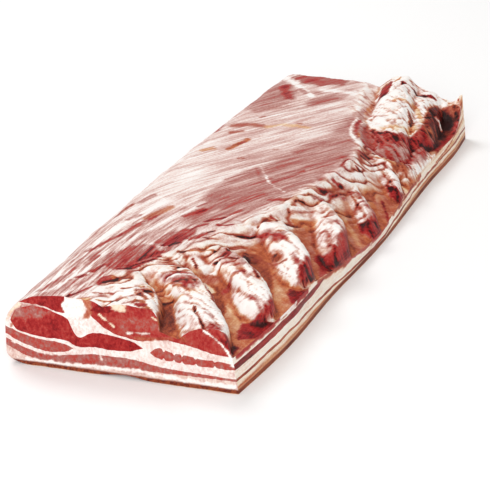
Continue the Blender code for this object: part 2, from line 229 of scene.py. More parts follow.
def raise_form(x, y, ground, form, near_side, far_side):
    """The ground with a form standing on it, whose two sides may differ in width and fall."""
    points, near_widths, far_widths = form
    line = smooth_line(points)
    raised = np.array(ground, float)
    reach = max(*near_widths, *far_widths)
    low, high = line[:, :2].min(axis=0) - reach, line[:, :2].max(axis=0) + reach
    here = (x > low[0]) & (x < high[0]) & (y > low[1]) & (y < high[1])
    x, y, ground = x[here], y[here], raised[here]
    best = ground
    last = len(line) - 2
    for k in range(last + 1):
        a, b = line[k], line[k + 1]
        run = b[:2] - a[:2]
        t = np.clip(((x - a[0]) * run[0] + (y - a[1]) * run[1]) / (run @ run), 0, 1)
        away = np.hypot(x - a[0] - t * run[0], y - a[1] - t * run[1])
        far = run[0] * (y - a[1]) - run[1] * (x - a[0]) > 0
        share = (k + t) / (last + 1)
        width = np.where(
            far,
            far_widths[0] + (far_widths[1] - far_widths[0]) * share,
            near_widths[0] + (near_widths[1] - near_widths[0]) * share,
        )
        power = np.where(far, far_side[0], near_side[0])
        fullness = np.where(far, far_side[1], near_side[1])
        rise = np.clip(1 - (away / width) ** power, 0, 1) ** fullness
        height = a[2] + t * (b[2] - a[2])
        best = np.maximum(best, ground + (height - ground) * rise)
    raised[here] = best
    return raised


def top_edge(y):
    """The x at which the top meets the upright right side."""
    return along(RIGHT_SIDE, y) - SIDE_LEAN * along(EDGE_HEIGHT, y)


def bare_top(x, y):
    """Height of the top before its fine relief, and the height of the ground under its forms."""
    x, y = np.broadcast_arrays(x, y)
    edge = along(EDGE_HEIGHT, y)
    start = along(FALL_LINE, y)
    fall = np.clip((x - start) / (along(RIGHT_SIDE, y) - start), 0, 1)
    ground = edge + (crown(y) - edge) * (1 - fall) ** FALL_CURVE
    torn_x = x + TORN_EDGE * uneven(x / TORN_SIZE, y / TORN_SIZE, 20)
    torn_y = y + TORN_EDGE * uneven(x / TORN_SIZE, y / TORN_SIZE, 30)
    height = ground
    for form in FINGERS:
        height = np.maximum(height, raise_form(torn_x, torn_y, ground, form, NEAR_SIDE, FAR_SIDE))
    # The fingers' tips come down before the right side, steeply but not upright.
    height = ground + (height - ground) * ease(TIP_END, TIP_FALL, top_edge(y) - x) ** TIP_POWER
    for form in POCKET_RIMS + LUMP:
        height = np.maximum(height, raise_form(torn_x, torn_y, ground, form, ROUND_SIDE, ROUND_SIDE))
    return height, ground


on_finger_two = bare_top(np.array([42.0]), np.array([-200.0]))[0]
print("the top on the second finger is", round(float(on_finger_two[0]), 1), "mm high")

# %% [markdown]
# ## Wrinkles, strands and lumps
#
# Four kinds of fine relief lie on the forms. The roots of the fingers are gathered in short
# folds that run across them, with round backs and sharp creases, and thin tendons run along
# the fingers' backs. The smooth skin has long low waves that follow the fibres. The torn meat
# between is lumpy. Each kind has its own part of the top, with a soft change between the parts.
#
# A bump map would be lighter, but it shows no folds at the edge of the slab, so relief of
# half a millimetre and more is real shape here. Only finer grain is left to the materials.

# %% Sizes of the relief
FOLD_TURN = math.radians(29)
FOLD_HEIGHT, FOLD_STEP, FOLD_LENGTH, FOLD_BEND, BEND_SIZE = 2.6, 6.0, 26.0, 0.7, 15.0
TENDON_HEIGHT, TENDON_STEP, TENDON_LENGTH = 1.1, 4.2, 22.0
RUMPLE_HEIGHT, RUMPLE_STEP, RUMPLE_LENGTH = 0.9, 3.8, 34.0
CRINKLE_HEIGHT, CRINKLE_SIZE, CRINKLED_LEAST = 0.7, 3.4, 0.3
WAVE_HEIGHT, LUMP_HEIGHT, LUMP_SIZE, FLAT_LUMPS = 0.5, 0.55, 6.0, 0.4
CREASE_LEVEL, FOLDS_ON_LUMP = 0.4, 0.8
# Where each kind sets in or fades, as the two ends of the change: in mm past the line where the
# top begins to fall, then in mm along the slab, then in mm of rise over the ground.
RIBBED, ROOTS_OUT, RUMPLED = (-16, 4), (20, 42), (-50, -14)
ROOTS_END, RUMPLED_END, LUMP_START = (100, 124), (20, 80), (130, 150)
FORM_RISE, LUMP_RISE = (0.5, 3), (0.5, 6)
# The skin of the second finger is split along its back.
SPLIT_DEPTH, SPLIT_WIDTH, SPLIT = 2.0, 1.0, ((36, -203), (46, -211), (57, -224))
print("the folds are", FOLD_HEIGHT, "mm high and about", FOLD_STEP, "mm apart")

# %% Folds, tendons and waves
def creased(u, w, seed):
    """Round swells with sharp creases between them, from 0 to about 1."""
    return np.abs(lattice_noise(u, w, seed) + 0.35 * lattice_noise(2 * u, 2 * w, seed + 1))


def line_distance(x, y, points):
    """How far each place is from a line through points."""
    away = np.full(np.shape(x), np.inf)
    points = np.array(points, float)
    for a, b in zip(points, points[1:]):
        run = b - a
        t = np.clip(((x - a[0]) * run[0] + (y - a[1]) * run[1]) / (run @ run), 0, 1)
        away = np.minimum(away, np.hypot(x - a[0] - t * run[0], y - a[1] - t * run[1]))
    return away


def gathered(x, y):
    """Folds at the fingers' roots and tendons on their backs, 0 in each crease, and their bend."""
    down = x * math.cos(FOLD_TURN) - y * math.sin(FOLD_TURN)
    side = x * math.sin(FOLD_TURN) + y * math.cos(FOLD_TURN)
    bend = FOLD_BEND * uneven(side / BEND_SIZE, down / BEND_SIZE, 44, 2)
    folds = creased(down / FOLD_STEP + bend, side / FOLD_LENGTH, 40)
    return folds, creased(side / TENDON_STEP + bend, down / TENDON_LENGTH, 62), bend


def root_share(x, y):
    """Where the roots of the fingers lie, from 0 to 1."""
    past_fall = x - along(FALL_LINE, y)
    return ease(*RIBBED, past_fall) * (1 - ease(*ROOTS_OUT, past_fall)) * (1 - ease(*ROOTS_END, y))


def smooth_waves(x, y, past_fall, bend):
    """Low waves along the fibres, rumpled where the smooth side meets the fingers."""
    strands = across_fibres(x, y)
    waves = WAVE_HEIGHT * (uneven(strands / 9, y / 70, 50) + 0.4 * uneven(strands / 3, y / 30, 54))
    rumpled = ease(*RUMPLED, past_fall) * (1 - ease(*RIBBED, past_fall)) * (1 - ease(*RUMPLED_END, y))
    rumples = creased(strands / RUMPLE_STEP + 0.5 * bend, y / RUMPLE_LENGTH, 70)
    return waves + rumpled * RUMPLE_HEIGHT * (rumples - CREASE_LEVEL)


def fine_relief(x, y, risen):
    """Height of the folds, waves and lumps at a place of the top."""
    past_fall = x - along(FALL_LINE, y)
    ribbed = ease(*RIBBED, past_fall)
    folds, tendons, bend = gathered(x, y)
    root = root_share(x, y)
    on_form = ease(*FORM_RISE, risen)
    on_lump = ribbed * ease(*LUMP_START, y) * ease(*LUMP_RISE, risen)
    lumps = LUMP_HEIGHT * uneven(x / LUMP_SIZE, y / LUMP_SIZE, 58)
    crinkles = creased(x / CRINKLE_SIZE + bend, y / CRINKLE_SIZE - bend, 66) - CREASE_LEVEL
    crinkles = CRINKLE_HEIGHT * crinkles * (CRINKLED_LEAST + (1 - CRINKLED_LEAST) * on_form)
    backs = on_form * (lumps + TENDON_HEIGHT * (tendons - CREASE_LEVEL))
    backs = backs + (1 - on_form) * FLAT_LUMPS * lumps
    relief = (1 - ribbed) * smooth_waves(x, y, past_fall, bend)
    relief = relief + (root + FOLDS_ON_LUMP * on_lump) * FOLD_HEIGHT * (folds - CREASE_LEVEL)
    relief = relief + ribbed * ((1 - root) * backs + crinkles)
    return relief - SPLIT_DEPTH * np.exp(-((line_distance(x, y, SPLIT) / SPLIT_WIDTH) ** 2))


def top_height(x, y):
    """Height of the top with everything on it."""
    height, ground = bare_top(x, y)
    return height + fine_relief(x, y, height - ground)


sample = fine_relief(np.array([-60.0, 0, 40]), np.zeros(3), np.ones(3))
print("relief at three places:", np.round(sample, 2))

# %% [markdown]
# ## The whole slab
#
# The slab is a loft: a closed section is drawn at many places along it, and each section is
# joined to the next. A section runs along the flat underside, round the rounded left side,
# over the top and down the right wall. The points lie about a millimetre apart on what shows
# and wider on the underside, so the mesh is fine where the eye looks.
#
# The underside isn't quite flat at the front: the rind lifts a little there, as in any slab
# that has dried on a hook.

# %% Loft of the slab
STEP = 1.15
END = LENGTH / 2
OVERRUN = 6.0
UNDER_POINTS, TOE_POINTS, SIDE_POINTS, TOP_POINTS, WALL_POINTS = 44, 7, 24, int(136 / STEP), 20
LIFT_PLACE, LIFT_WIDTH, LIFT_HEIGHT, LIFT_REACH = -1.0, 13.0, 2.6, 34.0
SIDE_WAVES, SIDE_WAVE_LENGTH = 0.7, 30.0
WALL_BULGE, BULGE_HEIGHT, BULGE_LENGTH = 0.5, 5.0, 14.0


def spaced(start, end, count):
    """Evenly spaced numbers from each start to each end, one row for each pair."""
    share = np.linspace(0, 1, count)
    start, end = np.broadcast_arrays(np.asarray(start, float), np.asarray(end, float))
    return start[..., None] + (end - start)[..., None] * share


def slab_rings(v):
    """Closed sections of the slab at the places v, as rows of points."""
    row = v[:, None]
    left = along(LEFT_SIDE, row - END_SLANT * SIDE_X)
    right = along(RIGHT_SIDE, row + END_SLANT * SIDE_X)
    under_x = spaced(right[:, 0], left[:, 0] + TOE_REACH, UNDER_POINTS)
    near_end = 1 - ease(-END, -END + LIFT_REACH, row)
    bend = np.exp(-(((under_x - LIFT_PLACE) / LIFT_WIDTH) ** 2))
    under_z = LIFT_HEIGHT * near_end * bend
    turn = np.linspace(0, math.pi / 2, TOE_POINTS + 2)[1:]
    toe_x = left + TOE_REACH * (1 - np.sin(turn))
    toe_z = np.broadcast_to(TOE_HEIGHT * (1 - np.cos(turn)), toe_x.shape)
    reach = along(SHOULDER_REACH, row)
    shoulder = crown(row) * along(SHOULDER_START, row)
    turn = np.linspace(0, math.pi / 2, SIDE_POINTS + 1)[:-1]
    top_left = left + reach
    crest = top_height(top_left, row + END_SLANT * top_left)
    side_x = left + reach * (1 - np.cos(turn))
    side_z = shoulder + (crest - shoulder) * np.sin(turn)
    out = SIDE_WAVES * np.sin(2 * turn) * uneven(turn * 3, row / SIDE_WAVE_LENGTH, 80)
    side_x, side_z = side_x - out * np.cos(turn), side_z + out * np.sin(turn)
    edge_x = right - SIDE_LEAN * along(EDGE_HEIGHT, row + END_SLANT * right)
    top_x = spaced(top_left[:, 0], edge_x[:, 0], TOP_POINTS)
    top_z = top_height(top_x, row + END_SLANT * top_x)
    down = np.linspace(0, 1, WALL_POINTS + 2)[1:-1]
    wall_x = edge_x + (right - edge_x) * down
    wall_z = top_z[:, -1:] * (1 - down)
    bulge = uneven(wall_z / BULGE_HEIGHT, row / BULGE_LENGTH, 84)
    wall_x = wall_x + WALL_BULGE * np.sin(math.pi * down) * bulge
    x = np.concatenate([under_x, toe_x, side_x, top_x, wall_x], axis=1)
    z = np.concatenate([under_z, toe_z, side_z, top_z, wall_z], axis=1)
    return np.stack([x, row + END_SLANT * x, z], axis=-1)


def loft(name, rings):
    """A closed mesh object through sections that each have the same number of points."""
    count, points = rings.shape[:2]
    at = np.arange(count * points).reshape(count, points)
    near, far = at[:-1], at[1:]
    sides = np.stack([near, np.roll(near, -1, 1), np.roll(far, -1, 1), far], axis=-1).reshape(-1, 4)
    faces = sides.tolist() + [at[0, ::-1].tolist(), at[-1].tolist()]
    mesh = bpy.data.meshes.new(name)
    mesh.from_pydata(rings.reshape(-1, 3) * MM, [], faces)
    shape = bmesh.new()
    shape.from_mesh(mesh)
    bmesh.ops.recalc_face_normals(shape, faces=shape.faces)
    shape.to_mesh(mesh)
    shape.free()
    made = bpy.data.objects.new(name, mesh)
    bpy.context.scene.collection.objects.link(made)
    return made


stations = np.arange(-END - OVERRUN, END + OVERRUN + STEP, STEP)
whole = loft("whole_slab", slab_rings(stations))
print("the slab before its ends are cut:", len(whole.data.vertices), "points")

# %% [markdown]
# ## The two cut ends
#
# A knife leaves a flat but not a smooth face: fat smears and stands a little proud, meat pulls
# back. So the slab isn't cut by plain planes. The cutter is a block whose two end faces are
# fine grids with a low relief, and a Boolean modifier keeps what the slab and the block have
# in common. The modifier is then applied, because every layer is cut from this result.

# %% Cut the ends
CUT_STEP, CUT_RELIEF, CUT_DEPTH = 0.8 * STEP, 0.35, 0.6
BLOCK_SIDE, BLOCK_LOW, BLOCK_HIGH = 110.0, -8.0, 75.0


def ends_block():
    """A block between the two cuts, whose end faces have a low relief."""
    x = np.arange(-BLOCK_SIDE, BLOCK_SIDE + CUT_STEP, CUT_STEP)
    z = np.arange(BLOCK_LOW, BLOCK_HIGH, CUT_STEP)[:, None]
    rings = []
    for sign, seed in ((-1, 90), (1, 94)):
        relief = CUT_RELIEF * (uneven(x / 9, z / 6, seed) - CUT_DEPTH)
        y = sign * (END + relief) + END_SLANT * x
        half = np.stack(np.broadcast_arrays(x, y, z), axis=-1)
        rings.append(half if sign < 0 else half[:, ::-1])
    return loft("ends_block", np.concatenate(rings, axis=1))


def applied(name, base, cuts):
    """A new object: the base after Boolean cuts, given as (operation, cutter)."""
    made = bpy.data.objects.new(name, base.data.copy())
    bpy.context.scene.collection.objects.link(made)
    for operation, cutter in cuts:
        modifier = made.modifiers.new(cutter.name, "BOOLEAN")
        modifier.operation, modifier.solver, modifier.object = operation, "MANIFOLD", cutter
    graph = bpy.context.evaluated_depsgraph_get()
    mesh = bpy.data.meshes.new_from_object(made.evaluated_get(graph))
    mesh.validate()
    made.modifiers.clear()
    made.data = mesh
    mesh.name = name
    return made


slab = applied("cut_slab", whole, (("INTERSECT", ends_block()),))
print("the slab with its ends cut:", len(slab.data.polygons), "faces")

# %% [markdown]
# ## The layers
#
# A belly is built in layers from the rind up: fat under the rind, a thin sheet of skin
# muscle, fat again with lean bands in it, and the inner skin or the ribs' meat on top. Each
# layer runs the whole length of the slab, but for a row of lean lobes at the right that ends
# part way. It is drawn as a band between two curves, given by its middle height and its
# thickness across the slab, and the borders waver as real ones do.
#
# The pieces are parted by Booleans from one slab, so that they meet without a gap and the
# outer surface stays one smooth skin over all of them.

# %% Sizes of the layers
SKIN_MUSCLE = (
    (-100, 23, 6), (-82, 14.4, 5.6), (-64, 8.5, 6.3), (-50, 8, 6.6), (-28, 10.8, 8.6),
    (0, 12, 8), (26, 10.6, 4.6), (60, 10.4, 2.4), (100, 10.4, 2),
)
FLANK_LEAN = (
    (-100, 33, 8), (-82, 23.8, 6.6), (-64, 17.7, 8.2), (-50, 17.2, 8.2), (-42, 17.4, 4.8),
    (-38, 18, 1),
)
MAIN_LEAN = (
    (-82.5, 34, 5), (-79, 34.6, 14), (-73, 35.2, 19.6), (-62, 35.3, 23.6), (-50, 33.8, 20.4),
    (-43, 32.2, 18), (-39.5, 30, 15.6), (-38, 27.4, 12), (-22, 27.2, 12.4), (-6, 26.4, 10.4),
    (5, 26.2, 6.8), (12, 25.6, 1),
)
EDGE_LEAN = ((17, 23, 1), (20, 23, 5.6), (35, 21.7, 6.4), (60, 20.8, 5.8), (100, 20.6, 4.4))
EDGE_LEAN_END, EDGE_LEAN_TAPER = -86.0, 24.0
EDGE_LEAN_NOTCHES = (26, 33, 40.5, 50, 63)
NOTCH_DEPTH, NOTCH_WIDTH = 0.55, 0.7
SKIN_LINE = ((-245, 10), (-150, 10.6), (-77, 8), (-41, 5.6), (20, 4.2), (80, 7.5), (245, 10.5))
SKIN_LINE_START, SKIN_LINE_FULL = 20.0, 75.0
TOP_LEAN_RIGHT = (
    (-245, -44), (-174, -41), (-131, -17), (-95, -11), (-53, 14), (-3, 30), (100, 34),
    (123, 20), (170, 10), (245, -4),
)
RIB_MEAT_LEFT = (
    (-245, -22), (-205, -30), (-174, -35), (-131, -12), (-95, -6), (-53, 19), (-3, 35),
    (100, 39), (123, 25), (170, 15), (245, 1),
)
TOP_LEAN_DEPTH, TOP_LEAN_LIP, TOP_LEAN_LIP_WIDTH = 9.0, 3.4, 24.0
RIB_UNDERSIDE = (
    (0, 0.62), (0.09, 0.34), (0.26, 0.15), (0.36, 0.15), (0.46, 0.23), (0.66, 0.18),
    (0.78, 0.08), (1, 0.01), (1.3, 0.0),
)
POCKET_DIP, POCKET_DIP_FULL = ((-245, 0), (100, 0), (150, 1), (190, 1.5), (222, 2.5), (245, 15)), 0.6
SEAM = 1.5
HIGH, LOW, OUT_LEFT, OUT_RIGHT = 90.0, -20.0, -100.0, 100.0
LAYER_STEP = 4.6 * STEP
LAYER_POINTS = int(125 / STEP)
WAVER, WAVER_SIZE, FINE_WAVER, FINE_WAVER_SIZE = 0.45, (11, 16), 0.3, (3, 5)
TOP_LEAN_WANDER, RIB_MEAT_WANDER, WANDER_LENGTH, SKIN_WANDER = 2.2, 1.2, 14.0, 0.6
WAVER_FULL, THINNEST, SKIN_THINNEST = 6.0, 0.4, 0.8
ROUNDED, ROUND_LEAST, TAPER_LEAST = 4.0, 0.15, 0.03
layer_v = np.arange(-END - OVERRUN - 4, END + OVERRUN + 4, LAYER_STEP)
print("each layer is drawn at", len(layer_v), "places along the slab")

# %% [markdown]
# ## From curves to closed shapes
#
# A Boolean needs closed cutters. Each layer is therefore lofted like the slab: at every place
# along it a ring runs out along the lower curve and back along the upper one. A shape that has
# no top of its own, such as the inner skin, simply reaches up past the slab.

# %% Layers as closed shapes
def waver(x, y, seed):
    """How far a border between two layers strays up or down."""
    coarse = uneven(x / WAVER_SIZE[0], y / WAVER_SIZE[1], seed)
    fine = uneven(x / FINE_WAVER_SIZE[0], y / FINE_WAVER_SIZE[1], seed + 4)
    return WAVER * coarse + FINE_WAVER * fine


def band(table, x, v):
    """Middle height and thickness of a layer at x in the section v."""
    y = v + END_SLANT * x
    inward = np.where(x < 0, LEFT_SIDE[0][1] / along(LEFT_SIDE, y), 1.0)
    thin = crown(y) / CROWN_NEAR
    middle = along([row[:2] for row in table], x * inward) * thin
    return middle, along([(row[0], row[2]) for row in table], x * inward) * thin


def rings_between(x, lower, upper, v):
    """Closed rings out along a lower curve and back along an upper one."""
    x, lower, upper = np.broadcast_arrays(x, lower, upper)
    x, z = np.concatenate([x, x[:, ::-1]], 1), np.concatenate([lower, upper[:, ::-1]], 1)
    return np.stack([x, v + END_SLANT * x, z], axis=-1)


def lean_band(name, table, seed, last=None, taper=0.0, notches=()):
    """A lean layer that lies in the fat, with rounded borders."""
    v = layer_v[:, None]
    if last is not None:
        v = np.append(layer_v[layer_v < last - LAYER_STEP / 2], last)[:, None]
    start, end = table[0][0], table[-1][0]
    x = np.linspace(start, end, LAYER_POINTS)[None, :]
    x = x * np.where(x < 0, along(LEFT_SIDE, v + END_SLANT * x) / LEFT_SIDE[0][1], 1.0)
    middle, thick = band(table, x, v)
    if taper:
        thick = thick * np.sqrt(np.clip((last - v) / taper, TAPER_LEAST, 1))
    inner = np.minimum(x - x[:, :1], x[:, -1:] - x)
    round_off = np.sqrt(1 - (1 - np.clip(inner / ROUNDED, 0, 1)) ** 2)
    thick = thick * (ROUND_LEAST + (1 - ROUND_LEAST) * round_off)
    for notch in notches:
        place = notch + 2 * uneven(v / 12, np.full(v.shape, notch), seed + 8)
        thick = thick * (1 - NOTCH_DEPTH * np.exp(-(((x - place) / NOTCH_WIDTH) ** 2)))
    y = v + END_SLANT * x
    wavers = np.clip(thick / WAVER_FULL, 0, 1)
    lower = middle - thick / 2 + waver(x, y, seed) * wavers
    upper = middle + thick / 2 + waver(x, y, seed + 10) * wavers
    return loft(name, rings_between(x, np.minimum(lower, upper - THINNEST), upper, v))


middle, thick = band(MAIN_LEAN, np.array([-62.0]), np.array([-END]))
print("the main lean is up to", round(float(thick[0]), 1), "mm thick at the near end")

# %% The layers that bend or reach the top
def skin_curves(x, v):
    """Underside and top of the skin muscle, bent at the right to its line on the side."""
    middle, thick = band(SKIN_MUSCLE, x, v)
    y = v + END_SLANT * x
    middle = middle + ease(SKIN_LINE_START, SKIN_LINE_FULL, x) * (along(SKIN_LINE, y) - middle)
    thick = np.maximum(thick + waver(x, y, 110) * np.clip(thick / 5, 0.4, 1), SKIN_THINNEST)
    middle = middle + SKIN_WANDER * waver(x, y, 120)
    return middle - thick / 2, middle + thick / 2


def over_main_lean(x, v):
    """The lowest that a top layer may reach where the main lean lies under it."""
    middle, thick = band(MAIN_LEAN, x, v)
    return np.where(x < MAIN_LEAN[-1][0] + SEAM, middle + thick / 2 + SEAM, LOW)


def top_lean_shape():
    """All that lies over the underside of the smooth top, left of a wandering border."""
    v = layer_v[:, None]
    right = along(TOP_LEAN_RIGHT, v) + TOP_LEAN_WANDER * uneven(v / WANDER_LENGTH, 0.5 + 0 * v, 130)
    x = spaced(np.full(len(v), OUT_LEFT), right[:, 0], LAYER_POINTS)
    y = v + END_SLANT * x
    lip = ease(-TOP_LEAN_LIP_WIDTH, 0, x - right) * TOP_LEAN_LIP
    lower = np.maximum(crown(y) - TOP_LEAN_DEPTH - lip, over_main_lean(x, v)) + waver(x, y, 134)
    return loft("top_lean_shape", rings_between(x, lower, np.full(x.shape, HIGH), v))


def rib_meat_shape():
    """All that lies over the underside of the ribbed side, right of a wandering border."""
    v = layer_v[:, None]
    left = along(RIB_MEAT_LEFT, v) + RIB_MEAT_WANDER * uneven(v / WANDER_LENGTH, 9.5 + 0 * v, 140)
    x = spaced(left[:, 0], np.full(len(v), OUT_RIGHT), LAYER_POINTS)
    y = v + END_SLANT * x
    share = (x - left) / (along(RIGHT_SIDE, y) - left)
    edge = along(EDGE_HEIGHT, y)
    lower = edge + (crown(y) - edge) * along(RIB_UNDERSIDE, share)
    lower = lower - along(POCKET_DIP, y) * ease(0, POCKET_DIP_FULL, share)
    lower = np.maximum(lower, over_main_lean(x, v)) + waver(x, y, 144)
    return loft("rib_meat_shape", rings_between(x, lower, np.full(x.shape, HIGH), v))


x, v = np.linspace(OUT_LEFT, OUT_RIGHT, int(200 / STEP))[None, :], layer_v[:, None]
skin_under, skin_over = skin_curves(x, v)
shapes = {
    "skin": loft("skin_shape", rings_between(x, skin_under, skin_over, v)),
    "above_back": loft("above_back", rings_between(x, skin_under, np.full(x.shape, HIGH), v)),
    "below_seam": loft("below_seam", rings_between(x, np.full(x.shape, LOW), skin_over, v)),
    "flank": lean_band("flank_shape", FLANK_LEAN, 150),
    "main": lean_band("main_shape", MAIN_LEAN, 160),
    "edge": lean_band(
        "edge_shape", EDGE_LEAN, 170, EDGE_LEAN_END, EDGE_LEAN_TAPER, EDGE_LEAN_NOTCHES
    ),
    "top": top_lean_shape(),
    "rib": rib_meat_shape(),
}
print(len(shapes), "shapes to part the slab with")

# %% [markdown]
# ## The lump's cap of fat
#
# The lump at the far right carries a cap of fat with dark meat round it. Its border is an
# upright well with an oval outline, drawn as a loft from low to high whose rings waver.

# %% The well of the cap
CAP_CENTRE, CAP_HALF_SIZES = (37.0, 193.0), (20.0, 56.0)
CAP_TURN, CAP_UNDERSIDE = math.radians(12), 27.0
CAP_SIDES, CAP_RINGS, CAP_WAVER = 160, 40, 1.3 / 30


def cap_shape():
    """An upright well with an oval, wavering outline."""
    round_about = np.linspace(0, 2 * math.pi, CAP_SIDES, endpoint=False)[None, :]
    z = np.linspace(CAP_UNDERSIDE, HIGH, CAP_RINGS)[:, None]
    u, w = 3 * np.cos(round_about) + 20, 3 * np.sin(round_about) + z / 30
    size = 1 + CAP_WAVER * uneven(u, w, 180)
    across = CAP_HALF_SIZES[0] * np.cos(round_about) * size
    ahead = CAP_HALF_SIZES[1] * np.sin(round_about) * size
    x = CAP_CENTRE[0] + across * math.cos(CAP_TURN) - ahead * math.sin(CAP_TURN)
    y = CAP_CENTRE[1] + across * math.sin(CAP_TURN) + ahead * math.cos(CAP_TURN)
    return loft("cap_shape", np.stack(np.broadcast_arrays(x, y, z), axis=-1))


shapes["cap"] = cap_shape()
print("the cap's well has", len(shapes["cap"].data.vertices), "points")

# %% [markdown]
# ## Part the slab
#
# Each piece is the slab inside one shape or outside several. The piece is named for the layer
# it is, rides on the slab's only body and replaces its node.

# %% Nine pieces
IN, OUT = "INTERSECT", "DIFFERENCE"
SEAM_OUT = [(OUT, shapes[name]) for name in ("below_seam", "flank", "main", "edge", "top", "rib", "cap")]
LAYERS = (
    ("back_fat", "rind_fat", [(OUT, shapes["above_back"])]),
    ("skin_muscle", "pink_lean", [(IN, shapes["skin"])]),
    ("seam_fat", "fat", SEAM_OUT),
    ("flank_lean", "pink_lean", [(IN, shapes["flank"])]),
    ("main_lean", "red_lean", [(IN, shapes["main"])]),
    ("edge_lean", "red_lean", [(IN, shapes["edge"])]),
    ("top_lean", "membrane", [(IN, shapes["top"])]),
    ("rib_meat", "rib_membrane", [(IN, shapes["rib"]), (OUT, shapes["cap"])]),
    ("pocket_fat", "fat", [(IN, shapes["cap"])]),
)
pieces = {}
for name, slot, cuts in LAYERS:
    piece = applied("pancetta_" + name, slab, cuts)
    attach(piece, "root")
    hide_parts(name)
    pieces[name] = piece
    print(name, len(piece.data.vertices), "points")
for helper in [whole, slab, bpy.data.objects["ends_block"], *shapes.values()]:
    bpy.data.objects.remove(helper, do_unlink=True)

# %% [markdown]
# ## Where fat, skin and meat show
#
# Two numbers say how any place on the slab looks. One is how lean it is, from white fat over
# pink and mauve to dark red meat. The other is how dry: fresh meat is red, and dried meat and
# fat turn tan and brown. Each finish below is a pair of them, and the material turns the pair
# into a colour. Because fat thins out over meat bit by bit, mixing two pairs gives the same
# in-between shades as the real thing, which mixing painted colours wouldn't.

# %% Finishes, as (how lean, how dry)
# Some of the dark finishes are also laid as painted shade: in creases, in the pocket and behind the
# fingers' torn edges.
FINISHES = {
    "white": (0.0, 0.0), "milky": (0.15, 0.03), "pink": (0.3, 0.03), "mauve": (0.5, 0.0),
    "plum": (0.64, 0.0), "rose": (0.74, 0.1), "red": (0.88, 0.1), "deep": (1.02, 0.1),
    "cream": (0.04, 0.7), "straw": (0.2, 0.9), "sand": (0.42, 0.8), "clay": (0.6, 0.6),
    "taupe": (0.64, 0.4), "rust": (0.76, 0.6), "ember": (0.66, 1.0), "brown": (0.78, 0.85),
    "dusk": (0.84, 0.75), "dark": (1.14, 0.6),
}
print(len(FINISHES), "finishes, from", min(FINISHES, key=FINISHES.get), "to dark")

# %% [markdown]
# ## Patches on the fingers
#
# What all fingers share is said once, in the finger's own measure: how far along its line, from
# the root at 0 to the tip at 1, and how far across, from the near side at -1 to the torn far
# edge at 1. Every finger gets a painted shadow line in the corner behind its far edge, and a
# pale lip of fat just inside that edge.

# %% Lines along each finger
LIP = ("milky", 0.8, 0.9, ((0.3, 0.8), (0.5, 0.84), (0.75, 0.86), (0.96, 0.8)))
# A painted shadow in the corner behind each finger's torn far edge.
SHADOW_LINE = ("brown", 1.0, 1.2, ((0.28, 1.04), (0.5, 1.06), (0.75, 1.06), (0.97, 1.0)))


def on_finger(finger, row):
    """A row of finger measures as a row in millimetres of the slab."""
    points, near_widths, far_widths = finger
    line = smooth_line(points)[:, :2]
    runs = np.gradient(line, axis=0)
    places = np.linspace(0, 1, len(line))
    made = []
    for share, across in row[3]:
        spot, run = (
            np.array([np.interp(share, places, part[:, k]) for k in (0, 1)]) for part in (line, runs)
        )
        widths = far_widths if across > 0 else near_widths
        reach = across * (widths[0] + (widths[1] - widths[0]) * share)
        made.append(spot + reach * np.array([-run[1], run[0]]) / np.hypot(*run))
    return (*row[:3], made)


# The last of the raised forms is a low ridge without such lines.
FINGER_PATCHES = [on_finger(finger, row) for finger in FINGERS[:-1] for row in (LIP, SHADOW_LINE)]
print(len(FINGER_PATCHES), "lines along the fingers")
